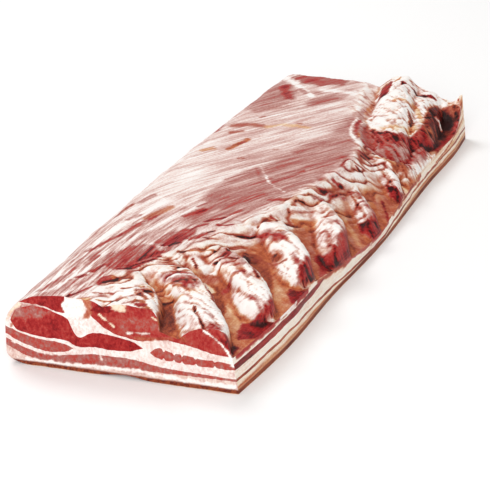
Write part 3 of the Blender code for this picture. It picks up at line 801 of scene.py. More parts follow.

# %% [markdown]
# ## Patches that occur once
#
# The rest is the slab's own character and is drawn patch by patch, as a painter would block in
# a picture: broad areas first, small spots last. A row is a finish, a half width in millimetres
# (0 for a closed outline), how soft the border is, and a few points (x, y). The places were read
# from how the slab looks, to a few millimetres.

# %% The smooth side
SMOOTH_SIDE = (
    ("milky", 0, 16, (
        (-88, -245), (-88, 70), (-62, 60), (-46, 10), (-40, -40), (-54, -110), (-68, -245),
    )),
    ("mauve", 0, 12, (
        (-28, -86), (-30, -42), (-26, -14), (-17, 8), (-9, 24), (-8, 42), (0, 62), (6, 86),
        (12, 108), (22, 126), (30, 112), (38, 96), (43, 76), (47, 60), (46, 42), (38, 18),
        (31, -4), (22, -28), (12, -56), (3, -80), (-8, -96), (-20, -100),
    )),
    ("mauve", 0, 8, ((8, 112), (11, 150), (12, 184), (18, 188), (20, 152), (28, 112))),
    ("milky", 3.2, 7, ((-31, -68), (-31, -40), (-29, -16), (-23, 6))),
    ("mauve", 3.6, 6, ((-36, 186), (-25, 195), (-12, 203))),
    ("plum", 3, 8, ((20, 40), (30, 54), (39, 70))),
    ("plum", 3, 7, ((1, 62), (6, 76), (12, 90))),
    ("plum", 2.5, 5, ((-20, -46), (-12, -30), (-4, -14), (4, 2))),
    ("plum", 2.5, 5, ((-6, -60), (2, -44), (10, -26))),
    ("plum", 1.6, 3, ((-26, -12), (-19, 4), (-13, 18))),
    ("red", 1.4, 3, ((9, -3), (13, 6), (17, 16), (22, 28))),
    ("white", 0.5, 1.2, ((-11, 21), (-4, 11), (6, -3), (14, -9), (24, -15))),
    ("plum", 1.0, 2, ((-13, 17), (-6, 6), (2, -7))),
    ("clay", 2.0, 2.5, ((27, -28), (33, -24), (40, -19))),
    ("rose", 1.6, 2.5, ((19, -33), (27, -28))),
    ("white", 3, 7, ((-32, 196), (-15, 200), (0, 203))),
    ("straw", 2.6, 5, ((-42, 100), (-34, 107), (-22, 112), (-10, 112))),
    ("taupe", 3.4, 4, ((-66, 90), (-57, 97), (-46, 100))),
    ("taupe", 2.0, 3, ((-62, 76), (-55, 82))),
    ("sand", 2.6, 4, ((-66, 32), (-60, 39))),
    ("ember", 2.6, 1.6, ((-49, 43), (-47, 51), (-45, 60), (-43, 68))),
    ("red", 0.9, 1.2, ((-46, 55), (-44, 63))),
    ("taupe", 1.1, 1.4, ((-21, 117), (-19, 118))),
    ("taupe", 1.1, 1.6, ((-34, 30), (-31, 32))),
    ("taupe", 1.0, 1.5, ((-17, 57), (-14, 60))),
    ("taupe", 1.4, 1.6, ((-53, 116), (-51, 119))),
    ("rose", 1.8, 3, ((-75, 76), (-77, 88), (-78, 98))),
    ("rust", 1.8, 1.2, ((-73, -105), (-72, -94), (-70, -82))),
    ("mauve", 0, 6, (
        (-79, 130), (-80, 190), (-72, 204), (-60, 196), (-50, 187), (-44, 165), (-50, 140), (-62, 124),
    )),
    ("red", 3.6, 4, ((-64, 190), (-58, 178), (-49, 166))),
    ("rust", 2.0, 2, ((-77, 146), (-79, 165), (-77, 184))),
    ("rose", 0, 4, ((-67, 213), (-60, 223), (-40, 229), (-20, 227), (-21, 215), (-38, 204), (-52, 204))),
    ("red", 3, 4, ((-52, 213), (-40, 213))),
    ("white", 2.6, 2.5, ((-76, 217), (-66, 206), (-54, 196), (-42, 186), (-34, 178))),
    ("mauve", 2.6, 3, ((-50, 190), (-42, 184))),
    ("mauve", 0, 4, ((-34, 158), (-34, 172), (-20, 190), (-8, 196), (-8, 184), (-18, 166), (-26, 156))),
    ("rose", 1.8, 3, ((-30, 164), (-22, 173), (-14, 183))),
)
print(len(SMOOTH_SIDE), "patches on the smooth side")

# %% The streaks near the front
NEAR_STREAKS = (
    ("rose", 1.7, 2, ((-62, -168), (-57, -150), (-52, -130), (-48, -110))),
    ("clay", 3.2, 2.2, ((-49, -101), (-45, -90), (-41, -77))),
    ("red", 1.1, 2, ((-51, -118), (-47, -104), (-44, -94))),
    ("white", 1.8, 4, ((-50, -182), (-46, -158), (-41, -130), (-36, -108), (-29, -80), (-22, -58))),
    ("white", 3, 4, ((-64, -160), (-60, -130), (-55, -100), (-53, -66))),
    ("mauve", 1.4, 2, ((-60, -110), (-56, -98))),
    ("mauve", 1.6, 2.5, ((-67, -78), (-62, -62))),
    ("plum", 0, 3, (
        (-44, -184), (-44, -164), (-37, -149), (-29, -140), (-20, -142), (-13, -152), (-15, -164),
        (-21, -179), (-31, -188),
    )),
    ("red", 2.8, 3, ((-22, -165), (-18, -156), (-15, -148))),
    ("deep", 1.3, 1.2, ((-29, -186), (-20, -178), (-16, -166), (-12, -154))),
    ("plum", 0, 3, (
        (-26, -136), (-24, -118), (-16, -104), (-8, -103), (-4, -114), (-8, -128), (-16, -138),
    )),
    ("red", 0, 2, ((-20, -134), (-20, -120), (-13, -110), (-9, -118), (-10, -130), (-15, -137))),
    ("deep", 1.2, 1.1, ((-19, -138), (-13, -136), (-8, -130))),
    ("red", 1.3, 1.6, ((-14, -108), (-9, -100), (-4, -92))),
    ("red", 1.2, 1.4, ((-6, -122), (-1, -114), (1, -106))),
    ("deep", 1.2, 1.4, ((-7, -88), (-2, -82), (3, -76))),
    ("plum", 1.8, 2.5, ((-8, -82), (0, -72), (8, -60))),
    ("red", 1.4, 1.5, ((3, -89), (9, -88), (13, -85))),
    ("dark", 0.9, 0.9, ((2, -104), (5, -100))),
    ("dark", 1.0, 0.9, ((3, -113), (6, -112))),
    ("red", 1.2, 1.8, ((-25, -87), (-21, -77), (-17, -68))),
    ("plum", 1.3, 2, ((-23, -67), (-17, -53), (-11, -40))),
    ("deep", 1.9, 1.0, ((-44, -196), (-43, -189), (-41, -183))),
    ("red", 1.5, 1.0, ((-54, -218), (-50, -210), (-45, -203))),
    ("red", 0, 1.3, ((-33, -212), (-34, -202), (-29, -196), (-23, -197), (-23, -203), (-28, -209))),
    ("ember", 1.4, 1.2, ((-27, -198), (-24, -199))),
    ("red", 1.2, 1.0, ((-37, -226), (-34, -219), (-30, -210))),
    ("deep", 1.0, 1.0, ((-42, -238), (-38, -229), (-35, -221))),
    ("plum", 1.5, 2, ((-66, -232), (-60, -214), (-56, -196))),
    ("plum", 1.5, 2.5, ((-58, -206), (-54, -186), (-52, -172))),
    ("white", 1.4, 1.6, ((-60, -234), (-53, -216), (-49, -200), (-49, -186))),
    ("white", 1.2, 1.4, ((-45, -236), (-40, -216), (-37, -202), (-38, -190))),
)
print(len(NEAR_STREAKS), "patches near the front")

# %% The near fingers and their root
ROOT_AND_NEAR_FINGERS = (
    ("white", 0, 4, (
        (-36, -238), (-33, -214), (-20, -203), (-6, -197), (4, -201), (12, -212), (18, -226), (14, -238),
    )),
    ("taupe", 0.9, 1.2, ((-27, -225), (-20, -218), (-10, -214))),
    ("taupe", 1.0, 1.2, ((-2, -230), (4, -224), (9, -220))),
    ("straw", 2.2, 1.8, ((-31, -237), (-27, -234))),
    ("taupe", 0, 2, ((-4, -210), (2, -203), (9, -203), (8, -210), (2, -214))),
    ("brown", 1.2, 1.2, ((-2, -212), (4, -214), (10, -218))),
    ("brown", 1.4, 1.2, ((3, -222), (10, -223), (16, -229))),
    ("red", 1.5, 1.2, ((7, -227), (13, -225))),
    ("white", 1.0, 0.9, ((2, -209), (9, -213), (16, -220), (21, -227))),
    ("brown", 1.1, 1.2, ((-22, -232), (-12, -226), (-4, -222))),
    ("brown", 1.0, 1.0, ((-14, -210), (-6, -207), (0, -202))),
    ("deep", 1.3, 1.0, ((9, -233), (16, -231), (21, -229))),
    ("white", 1.0, 0.9, ((12, -237), (19, -234), (22, -228))),
    ("brown", 0, 2.4, (
        (1, -207), (8, -198), (14, -194), (20, -196), (24, -206), (31, -215), (34, -228), (20, -230),
        (18, -218), (10, -212),
    )),
    ("sand", 2.2, 1.8, ((3, -200), (9, -195), (15, -192))),
    ("straw", 1.2, 1.2, ((-2, -203), (0, -199))),
    ("dark", 0.9, 1.0, ((0, -207), (6, -206), (12, -200), (16, -191))),
    ("mauve", 0, 4, (
        (-2, -178), (4, -170), (12, -163), (22, -164), (29, -172), (33, -180), (22, -184), (10, -182),
    )),
    ("white", 1.0, 1.0, ((-3, -172), (5, -165), (14, -158))),
    ("white", 0.9, 1.0, ((5, -178), (12, -170), (20, -167))),
    ("taupe", 0.8, 1.0, ((0, -175), (8, -167), (15, -162))),
    ("brown", 1.0, 1.2, ((13, -182), (20, -183), (27, -187))),
    ("brown", 1.0, 1.0, ((2, -163), (14, -156), (24, -150))),
    ("brown", 0.9, 1.0, ((2, -190), (9, -181), (18, -175), (26, -172))),
    ("white", 1.1, 0.9, ((10, -188), (16, -187), (25, -190))),
    ("sand", 1.8, 1.6, ((21, -193), (32, -192))),
    ("white", 0, 1.8, (
        (19, -197), (26, -191), (38, -189), (48, -193), (57, -199), (66, -210), (70, -222), (60, -226),
        (48, -224), (38, -220), (29, -212),
    )),
    ("dark", 0.7, 0.8, ((38, -203), (46, -212), (53, -221), (56, -226))),
    ("mauve", 1.0, 1.6, ((48, -207), (54, -208))),
    ("rose", 0, 4, ((54, -216), (60, -213), (66, -219), (63, -225), (56, -223))),
    ("deep", 2.2, 1.8, ((68, -227), (71, -220), (71, -208))),
    ("brown", 0, 2, (
        (22, -157), (27, -154), (33, -152), (38, -158), (43, -166), (50, -174), (54, -182), (60, -193),
        (48, -187), (36, -177), (26, -165),
    )),
    # A painted shadow along the torn far edge of a finger.
    ("dark", 1.8, 2, ((26, -165), (36, -176), (46, -187))),
    ("cream", 3.4, 1.6, ((26, -160), (30, -160))),
    ("brown", 0.9, 1.0, ((22, -163), (27, -167), (33, -165))),
    ("clay", 0, 2.4, (
        (14, -151), (20, -150), (24, -142), (30, -140), (32, -148), (28, -155), (20, -157),
    )),
    ("white", 0, 2, ((8, -146), (12, -138), (20, -133), (28, -136), (27, -143), (20, -149))),
    ("dark", 1.0, 1.0, ((8, -142), (12, -145), (15, -150))),
    ("brown", 1.1, 1.2, ((-3, -141), (5, -135), (13, -129), (18, -125))),
    # Painted shade at the roots of the fingers: a mauve shadow with two dark creases in it.
    ("mauve", 0, 5, ((19, -128), (22, -118), (30, -110), (40, -118), (46, -130), (38, -136), (28, -136))),
    ("dark", 0.8, 0.9, ((22, -137), (29, -131), (36, -127))),
    ("dark", 0.8, 0.9, ((24, -119), (32, -113), (39, -113))),
    ("white", 0, 1.8, (
        (41, -144), (48, -137), (56, -140), (66, -146), (76, -155), (80, -161), (76, -168), (66, -172),
        (58, -170), (50, -165), (44, -156),
    )),
    ("rose", 1.6, 2, ((38, -156), (39, -150), (40, -143), (46, -138))),
    ("rust", 1.3, 1.2, ((39, -145), (43, -142))),
    ("mauve", 1.3, 1.8, ((60, -158), (66, -162), (72, -167))),
    ("sand", 0, 2.6, ((48, -171), (56, -172), (66, -175), (64, -187), (58, -193), (50, -183))),
    ("cream", 2.0, 1.4, ((48, -167), (53, -170))),
    ("brown", 0.9, 1.0, ((54, -171), (59, -174))),
    ("deep", 0, 2, (
        (63, -178), (70, -171), (76, -164), (84, -160), (84, -177), (76, -190), (69, -198), (64, -188),
    )),
    ("sand", 2.0, 2, ((45, -160), (49, -166), (55, -171))),
)
print(len(ROOT_AND_NEAR_FINGERS), "patches on the near fingers")

# %% The middle fingers
MIDDLE_FINGERS = (
    ("brown", 0, 2.4, (
        (32, -103), (37, -97), (46, -98), (50, -104), (56, -112), (62, -118), (70, -124), (76, -138),
        (81, -154), (68, -141), (56, -129), (44, -117),
    )),
    ("sand", 0, 4, ((60, -116), (67, -119), (74, -125), (80, -141), (80, -150), (70, -138), (63, -127))),
    ("ember", 2.2, 2.4, ((35, -95), (39, -93), (45, -96))),
    # A painted shadow in the corner behind a finger's torn far edge.
    ("dark", 2.0, 2, ((34, -108), (42, -118), (50, -128), (57, -137))),
    # Painted shade at the roots of the fingers: a mauve shadow and a dark crease along it.
    ("mauve", 0, 4, ((20, -92), (27, -81), (37, -73), (49, -71), (53, -78), (43, -81), (33, -84))),
    ("dark", 0.7, 0.9, ((19, -94), (27, -85), (33, -81))),
    ("red", 1.2, 1.4, ((29, -83), (37, -78), (47, -75))),
    ("white", 1.0, 1.0, ((21, -81), (30, -73), (39, -68))),
    ("white", 0, 1.8, (
        (45, -86), (51, -79), (59, -76), (69, -81), (77, -90), (81, -99), (79, -107), (71, -111),
        (63, -107), (55, -101), (49, -95),
    )),
    ("clay", 0, 2.4, ((46, -91), (51, -88), (57, -92), (53, -97), (48, -96))),
    ("taupe", 0.7, 0.9, ((49, -99), (56, -97), (61, -94))),
    ("mauve", 1.2, 1.6, ((63, -89), (69, -95), (77, -103))),
    ("deep", 1.0, 0.9, ((73, -99), (78, -104))),
    ("deep", 0, 2, ((70, -114), (78, -112), (83, -103), (84, -119), (80, -131), (73, -122))),
    ("clay", 0, 2.4, (
        (43, -46), (44, -37), (50, -31), (57, -31), (61, -42), (67, -52), (74, -60), (82, -68),
        (82, -80), (75, -77), (66, -69), (54, -58),
    )),
    ("ember", 2.4, 2.4, ((43, -42), (49, -36), (53, -30))),
    ("brown", 1.6, 1.8, ((46, -56), (54, -62), (64, -71), (74, -80))),
    ("red", 0, 3, ((73, -64), (80, -66), (85, -72), (85, -84), (78, -76))),
    ("red", 1.1, 1.1, ((31, -56), (36, -56))),
    ("taupe", 1.0, 1.6, ((38, -38), (44, -26), (50, -16))),
    ("milky", 0, 2.2, (
        (61, -41), (56, -30), (58, -17), (66, -14), (76, -18), (86, -27), (85, -36), (79, -43),
        (72, -47), (66, -46),
    )),
    ("white", 2.4, 3, ((62, -30), (68, -28), (76, -30), (82, -33))),
    ("taupe", 0.9, 1.4, ((60, -36), (66, -34), (73, -40))),
    ("mauve", 1.2, 1.8, ((62, -22), (70, -21), (80, -27))),
    ("deep", 0, 2, (
        (66, -50), (72, -52), (79, -47), (86, -38), (90, -36), (88, -58), (76, -66), (68, -60),
    )),
    ("rose", 1.2, 1.4, ((43, -6), (48, 0), (52, 4))),
    ("plum", 1.8, 3, ((44, 10), (52, 22), (60, 33))),
    ("red", 1.6, 1.1, ((46, 30), (50, 33), (53, 36))),
    ("dark", 0.9, 0.9, ((51, 66), (54, 68), (57, 66))),
)
print(len(MIDDLE_FINGERS), "patches on the middle fingers")

# %% The far fingers
FAR_FINGERS = (
    ("clay", 0, 2.4, (
        (55, 0), (56, 10), (62, 19), (68, 21), (76, 12), (84, 6), (88, -8), (86, -16), (76, -13),
        (66, -7),
    )),
    ("ember", 2, 2, ((57, 3), (60, 10), (64, 16))),
    ("sand", 2.6, 3, ((66, 8), (73, 4), (80, -3))),
    ("brown", 1.4, 1.6, ((58, -4), (67, -7), (76, -10), (84, -16))),
    ("milky", 0, 2, (
        (50, 38), (58, 28), (68, 20), (76, 17), (82, 22), (86, 30), (80, 38), (70, 42), (58, 48),
    )),
    ("taupe", 0.9, 1.4, ((56, 38), (66, 30), (74, 25))),
    ("mauve", 1.3, 2, ((60, 44), (72, 34), (80, 31))),
    ("deep", 0, 2, ((71, 17), (77, 11), (84, 13), (89, 22), (89, 34), (84, 33), (80, 24))),
    ("clay", 0, 2.2, ((62, 55), (66, 65), (72, 72), (80, 67), (88, 52), (88, 40), (82, 39), (74, 43))),
    ("ember", 1.8, 1.6, ((69, 51), (78, 46), (84, 42))),
    ("deep", 1.2, 1.2, ((74, 62), (80, 56), (85, 48))),
    ("milky", 0, 2.4, ((50, 90), (60, 83), (70, 80), (78, 78), (85, 84), (84, 96), (74, 100), (60, 102))),
    ("taupe", 1.0, 1.4, ((56, 92), (66, 88), (73, 84))),
    ("deep", 0, 2, ((71, 81), (76, 74), (86, 76), (88, 92), (82, 91), (79, 84))),
    ("cream", 2.0, 2, ((77, 98), (84, 97))),
    ("sand", 2.4, 2.4, ((55, 99), (64, 105), (71, 108))),
    ("brown", 1.1, 1.2, ((65, 102), (70, 104))),
    ("dark", 1.0, 1.1, ((50, 103), (54, 105), (58, 107))),
    ("plum", 1.1, 1.4, ((43, 88), (50, 94), (56, 98))),
    ("dark", 0.7, 0.9, ((47, 85), (54, 89))),
)
print(len(FAR_FINGERS), "patches on the far fingers")

# %% The lump and its pocket
LUMP_AND_POCKET = (
    ("plum", 0, 3, (
        (24, 140), (26, 122), (34, 110), (46, 104), (58, 106), (66, 114), (74, 128), (80, 150), (76, 166),
        (68, 176), (60, 156), (52, 142), (40, 138), (30, 142),
    )),
    ("rose", 0, 4, (
        (26, 142), (32, 130), (44, 124), (56, 128), (68, 146), (74, 162), (66, 178), (58, 152),
        (44, 138),
    )),
    ("red", 0, 4, (
        (34, 137), (46, 133), (58, 138), (68, 156), (70, 170), (64, 178), (60, 158), (52, 143),
    )),
    ("deep", 0, 3, ((60, 148), (68, 158), (74, 168), (70, 180), (64, 180), (62, 164))),
    ("red", 1.6, 2, ((22, 150), (22, 138), (26, 126), (33, 114))),
    ("ember", 1.2, 1.6, ((30, 120), (33, 115))),
    ("white", 1.3, 1.4, ((18, 146), (20, 130), (26, 115), (38, 101), (52, 97), (62, 100))),
    ("taupe", 1.0, 1.2, ((28, 104), (38, 96), (50, 93))),
    ("milky", 0, 3, ((-6, 214), (-6, 244), (5, 244), (6, 226), (3, 212))),
    ("white", 0, 2, (
        (21, 164), (25, 152), (32, 144), (44, 140), (54, 144), (60, 158), (63, 178), (60, 194), (57, 212),
        (60, 228), (66, 236), (44, 246), (18, 246), (15, 224), (13, 206), (15, 188),
    )),
    ("deep", 0, 1.4, ((19, 193), (15, 205), (13, 216), (16, 229), (21, 224), (23, 210), (23, 199))),
    ("straw", 0, 5, (
        (36, 144), (44, 143), (53, 148), (59, 162), (62, 178), (58, 176), (52, 158), (44, 149),
    )),
    ("sand", 2.2, 3, ((35, 190), (40, 194), (46, 196))),
    ("brown", 1.5, 1.4, ((50, 183), (54, 178), (56, 172))),
    ("straw", 1.8, 2, ((46, 204), (53, 198), (60, 186))),
    ("sand", 1.2, 1.5, ((17, 170), (15, 184), (14, 196))),
    ("sand", 1.4, 2, ((22, 224), (24, 232))),
    # Dark brown meat in the pocket, with painted shade over its deepest part.
    ("dusk", 0, 4, (
        (57, 216), (58, 204), (61, 192), (64, 180), (71, 174), (78, 190), (80, 215), (79, 236), (72, 238),
        (64, 232), (59, 226),
    )),
    ("dark", 0, 6, ((58, 218), (60, 202), (66, 186), (74, 200), (75, 222), (68, 234))),
    ("deep", 1.7, 1.2, ((30, 222), (38, 225), (47, 228), (56, 232))),
    ("red", 0, 3, ((74, 172), (80, 172), (82, 196), (82, 222), (79, 238), (76, 226), (77, 204))),
    ("deep", 1.8, 2, ((72, 168), (75, 180), (77, 196))),
    # A painted highlight: a small glint on the pocket's slope.
    ("milky", 1.3, 1.6, ((64, 210), (67, 213), (69, 211))),
    ("rust", 1.4, 1.6, ((80, 168), (82, 190), (82, 214))),
    ("ember", 2.2, 2, ((79, 240), (77, 246))),
    ("cream", 1.6, 1.2, ((74, 243), (78, 247))),
    ("rust", 0, 1.6, ((64, 110), (70, 117), (76, 116), (78, 109), (71, 105))),
    ("red", 1.3, 1.1, ((66, 113), (72, 119), (77, 119))),
    ("white", 1.6, 1.5, ((78, 122), (80, 136), (80, 150), (78, 160))),
)
print(len(LUMP_AND_POCKET), "patches on the lump and in its pocket")

# %% The near cut end, with points as (x, z)
NEAR_CUT = (
    ("plum", 0, 6, ((-84, 35), (-79, 45), (-66, 47), (-53, 44), (-62, 39), (-75, 35))),
    ("white", 0, 0.8, ((-45, 51), (-42, 56), (-29, 58), (-29, 50), (-31, 43), (-38, 41), (-43, 43))),
    ("clay", 0, 1.2, ((-30, 58), (-23, 59), (-23, 50), (-25, 43), (-31, 42), (-27, 50))),
    ("deep", 0, 1.2, ((-24, 50), (-19, 56), (-9, 58), (-8, 51), (-14, 49), (-20, 48))),
    ("cream", 0, 1.6, ((-10, 58), (0, 57), (1, 53), (-4, 51), (-10, 52))),
    ("rose", 0, 3, ((-12, 46), (0, 48), (14, 49), (26, 46), (27, 41), (12, 38), (-4, 40))),
    ("cream", 0.6, 0.8, ((19, 51), (24, 48), (24, 43))),
    ("cream", 0.7, 0.6, ((-18, 47), (-13, 43), (-8, 39))),
    ("milky", 0.8, 0.8, ((1, 36), (9, 37), (17, 38))),
    ("rust", 1.3, 1.2, ((7, 33), (20, 34), (32, 36))),
    ("rust", 1.4, 1.6, ((37, 41), (40, 38), (42, 35))),
    ("deep", 0, 1.4, ((63, 46), (70, 41), (77, 40), (80, 44), (77, 32), (72, 34), (66, 39))),
    ("white", 0.8, 0.7, ((55, 46), (62, 41), (68, 36), (72, 31), (75, 24))),
    ("white", 1.5, 0.8, ((75, 22), (77, 21))),
    ("milky", 0.6, 0.6, ((-82, 17), (-76, 16), (-70, 14))),
    ("milky", 0.7, 0.6, ((-64, 12), (-52, 11), (-42, 13), (-36, 15))),
    ("milky", 0.6, 0.6, ((-19, 16), (-17, 12))),
    ("cream", 1.0, 1.2, ((-85, 33), (-81, 42), (-76, 47))),
    ("clay", 0.9, 1.6, ((-79, 39), (-81, 34), (-82, 29))),
    ("white", 1.3, 1.6, ((-72, 4.6), (-50, 4.4), (-30, 5.4), (-10, 7), (10, 7.4), (40, 5), (76, 5))),
)
print(len(NEAR_CUT), "patches on the near cut")

# %% [markdown]
# ## Laying the paint on
#
# Paint goes on a mesh as attributes: a number for each corner of each face, which the material
# reads. A patch's share at a point grows from 0 to 1 across its soft border, and noise tears
# the border, along the fibres on the smooth side and any way on the fingers.
#
# Then the relief adds painted light and shade to the paint. A place that lies lower than its
# surroundings is painted leaner and drier, so darker, than one that stands out, which is painted
# paler. The same folds and tendons that shaped the surface give the darkest painted shade, in
# their creases.

# %% Lay patches on points
TEAR_HARD, TEAR_SOFT = 0.45, 0.32


def depth_inside(x, y, points, width):
    """How deep places lie inside an outline, or inside a line with a half width."""
    points = np.array(points, float)
    if width:
        return width - line_distance(x, y, points)
    points = np.concatenate([points, points[:1]])
    inside = np.zeros(np.shape(x), bool)
    for a, b in zip(points, points[1:]):
        if a[1] != b[1]:
            crosses = (a[1] > y) != (b[1] > y)
            inside ^= crosses & (x < a[0] + (y - a[1]) / (b[1] - a[1]) * (b[0] - a[0]))
    away = line_distance(x, y, points)
    return np.where(inside, away, -away)


def lay(patches, x, y, torn, lean, dry):
    """Paints patches over what the two arrays hold."""
    for finish, width, softness, points in patches:
        margin = width + softness + 3
        low, high = np.min(points, axis=0) - margin, np.max(points, axis=0) + margin
        here = (x > low[0]) & (x < high[0]) & (y > low[1]) & (y < high[1])
        tear = torn[here] * (TEAR_HARD + TEAR_SOFT * softness)
        depth = depth_inside(x[here], y[here], points, width) + tear
        share = ease(-softness / 2, softness / 2, depth)
        for values, new in zip((lean, dry), FINISHES[finish]):
            values[here] += share * (new - values[here])


inside = depth_inside(np.array([0.0, 9.0]), np.array([0.0, 0.0]), ((-5, 0), (5, 0)), 2)
print("two places lie this deep in a line 4 mm wide:", inside)

# %% Painted shade and light from the relief
RIM_TURNS = (0.4, 1.97, 3.54, 5.11)
HOLLOW_NEAR, HOLLOW_WIDE, NEAR_WEIGHT, WIDE_WEIGHT = 2.2, 6.0, 0.55, 0.05
RIDGE_MOST, DEEP_MOST, DEEP_DRY_MOST = -0.2, 0.5, 0.35
FOLD_CREASE, TENDON_CREASE, TENDON_SHARE = (0.03, 0.26), (0.03, 0.2), 0.6
DEEP_LEAN, MORE_ON_RIBS, LESS_IN_HOLLOWS, DEEP_DRY = 0.6, 0.1, 0.5, 0.9
CREASE_SHADE_LEAN, CREASE_SHADE_DRY = 0.55, 0.25
MOTTLE_LEAN, MOTTLE_DRY = 0.12, 0.14


def hollowness(x, y, reach):
    """How far the surroundings stand above each place of the top, in mm."""
    rim = [top_height(x + reach * math.cos(turn), y + reach * math.sin(turn)) for turn in RIM_TURNS]
    return np.mean(rim, axis=0) - top_height(x, y)


def creases(x, y):
    """How deep in a crease each place of the ribbed side lies, from 0 to 1."""
    folds, tendons, _ = gathered(x, y)
    root = root_share(x, y)
    in_folds, on_backs = 1 - ease(*FOLD_CREASE, folds), 1 - ease(*TENDON_CREASE, tendons)
    return np.maximum(root * in_folds, TENDON_SHARE * (1 - root) * on_backs)


def paint_relief_shading(x, y, ribbed, hollow, lean, dry):
    """Adds painted shade from the relief: darker low down, paler high up, darkest in creases."""
    near, wide = (hollowness(x, y, reach) for reach in (HOLLOW_NEAR, HOLLOW_WIDE))
    # Painted shade in hollows and painted light on ridges.
    deep = np.clip(NEAR_WEIGHT * near + WIDE_WEIGHT * wide, RIDGE_MOST, DEEP_MOST)
    lean += deep * (DEEP_LEAN + MORE_ON_RIBS * ribbed) * (1 - LESS_IN_HOLLOWS * hollow)
    dry += ribbed * np.clip(DEEP_DRY * deep, 0, DEEP_DRY_MOST)
    # Painted shade in the creases of the folds and tendons, and a random mottle on the ribs.
    crease = ribbed * (1 - hollow) * creases(x, y)
    lean += CREASE_SHADE_LEAN * crease + MOTTLE_LEAN * ribbed * uneven(x / 5, y / 5, 220)
    dry += CREASE_SHADE_DRY * crease + MOTTLE_DRY * ribbed * uneven(x / 7, y / 7, 224)


print("the deepest creases add", CREASE_SHADE_LEAN, "to the lean and", CREASE_SHADE_DRY, "to the dry")

# %% The paint of the whole top
# Plain skin as (how lean, how dry), and what is added on the ribs, on a form and in a hollow.
SKIN, ON_RIBS, ON_FORM, IN_HOLLOW = (0.27, 0.04), (-0.1, 0.16), (-0.05, 0.0), (0.4, 0.55)
RIBS_COLOURED, HOLLOW_FROM, FORM_COLOURED = (-14, 2), (8, 28), (0.5, 4)
TIP_REACH, TIP_TORN, TIPS_FROM, TIPS_TO = (4, 11), 2.5, (-206, -190), (50, 70)
NEAR_END, NEAR_LEAN, NEAR_STREAKY, PLAIN_STREAKY, RIBS_CALMER = (-190, -60), 0.14, 1.0, 0.85, 0.55


def tears(x, y, ribbed):
    """Noise that tears the borders of patches, along the fibres or any way."""
    with_fibres = uneven(across_fibres(x, y) / 1.8, y / 26, 200)
    any_way = 0.7 * uneven(x / 4, y / 4, 204) + 0.4 * uneven(x / 1.5, y / 1.5, 208)
    return with_fibres + ribbed * (any_way - with_fibres)


def bare_tips(x, y, risen, torn):
    """Where the fingers' ends were torn off and show bare meat, from 0 to 1."""
    tip = risen * (1 - ease(*TIP_REACH, top_edge(y) - x + TIP_TORN * torn))
    return tip * ease(*TIPS_FROM, y) * (1 - ease(*TIPS_TO, y))


def top_paint(x, y):
    """How lean and how dry the top is at each place, and how streaky."""
    past_fall = x - along(FALL_LINE, y)
    ribbed = ease(*RIBS_COLOURED, past_fall)
    height, ground = bare_top(x, y)
    risen = ease(*FORM_COLOURED, height - ground)
    hollow = ease(*HOLLOW_FROM, past_fall) * (1 - risen)
    lean, dry = (
        plain + on_ribs * ribbed + on_form * ribbed * risen + in_hollow * hollow
        for plain, on_ribs, on_form, in_hollow in zip(SKIN, ON_RIBS, ON_FORM, IN_HOLLOW)
    )
    torn = tears(x, y, ribbed)
    for patches in (
        SMOOTH_SIDE, NEAR_STREAKS, ROOT_AND_NEAR_FINGERS, MIDDLE_FINGERS, FAR_FINGERS,
        LUMP_AND_POCKET, FINGER_PATCHES,
    ):
        lay(patches, x, y, torn, lean, dry)
    tip = bare_tips(x, y, risen, torn)
    for values, bare in zip((lean, dry), FINISHES["deep"]):
        values += tip * (bare - values)
    paint_relief_shading(x, y, ribbed, hollow, lean, dry)
    near_end = (1 - ease(*NEAR_END, y)) * (1 - ribbed)
    lean += NEAR_LEAN * near_end
    return lean, dry, (PLAIN_STREAKY + NEAR_STREAKY * near_end) * (1 - RIBS_CALMER * ribbed)


sample = top_paint(np.array([-60.0, 10, 60]), np.array([0.0, 20, -150]))
print("paint at three places:", np.round(sample, 2))

# %% [markdown]
# ## Paint on the pieces
#
# Each piece has its own finish on the cut ends and on the upright sides. On the right side the
# layers have dried in the air, so they are browner there than on the fresh cuts.

# %% Finishes of the cuts and sides
# Each value is (how lean, how dry).
ON_CUT = {
    "back_fat": (0.26, 0.22), "skin_muscle": (0.68, 0.02), "seam_fat": (0.13, 0.05),
    "flank_lean": (0.70, 0.0), "main_lean": (0.93, 0.0), "edge_lean": (0.70, 0.04),
    "top_lean": (0.93, 0.06), "rib_meat": (0.83, 0.1), "pocket_fat": (0.1, 0.2),
}
ON_SIDE = {
    "back_fat": (0.34, 0.8), "skin_muscle": (0.8, 0.75), "seam_fat": (0.02, 0.45),
    "edge_lean": (0.98, 0.3), "rib_meat": (0.1, 0.5),
}
# On the right side the points are (y, z).
RIGHT_SIDE_PATCHES = (
    ("red", 2.6, 1.6, ((-214, 27), (-190, 27), (-160, 26.5), (-135, 26), (-105, 25))),
    ("milky", 0, 1.2, ((-240, 31), (-216, 31), (-222, 25), (-240, 24))),
    ("milky", 1.2, 1.2, ((-152, 26), (-138, 25), (-126, 25))),
    ("rust", 1.6, 1.6, ((-84, 22), (-70, 19), (-52, 16), (-36, 14))),
    ("rose", 1.6, 1.6, ((-34, 14), (-10, 12), (14, 10.5), (30, 9.5), (48, 10.5))),
    ("rust", 1.4, 1.6, ((60, 11.5), (84, 12.5), (110, 13.5), (130, 14))),
    ("rust", 0.8, 0.9, ((112, 9.5), (150, 9.5), (200, 13), (240, 20))),
    ("straw", 1.4, 1.6, ((120, 7.5), (160, 8), (200, 11), (240, 17))),
    ("ember", 3, 3, ((238, 34), (246, 40))),
)
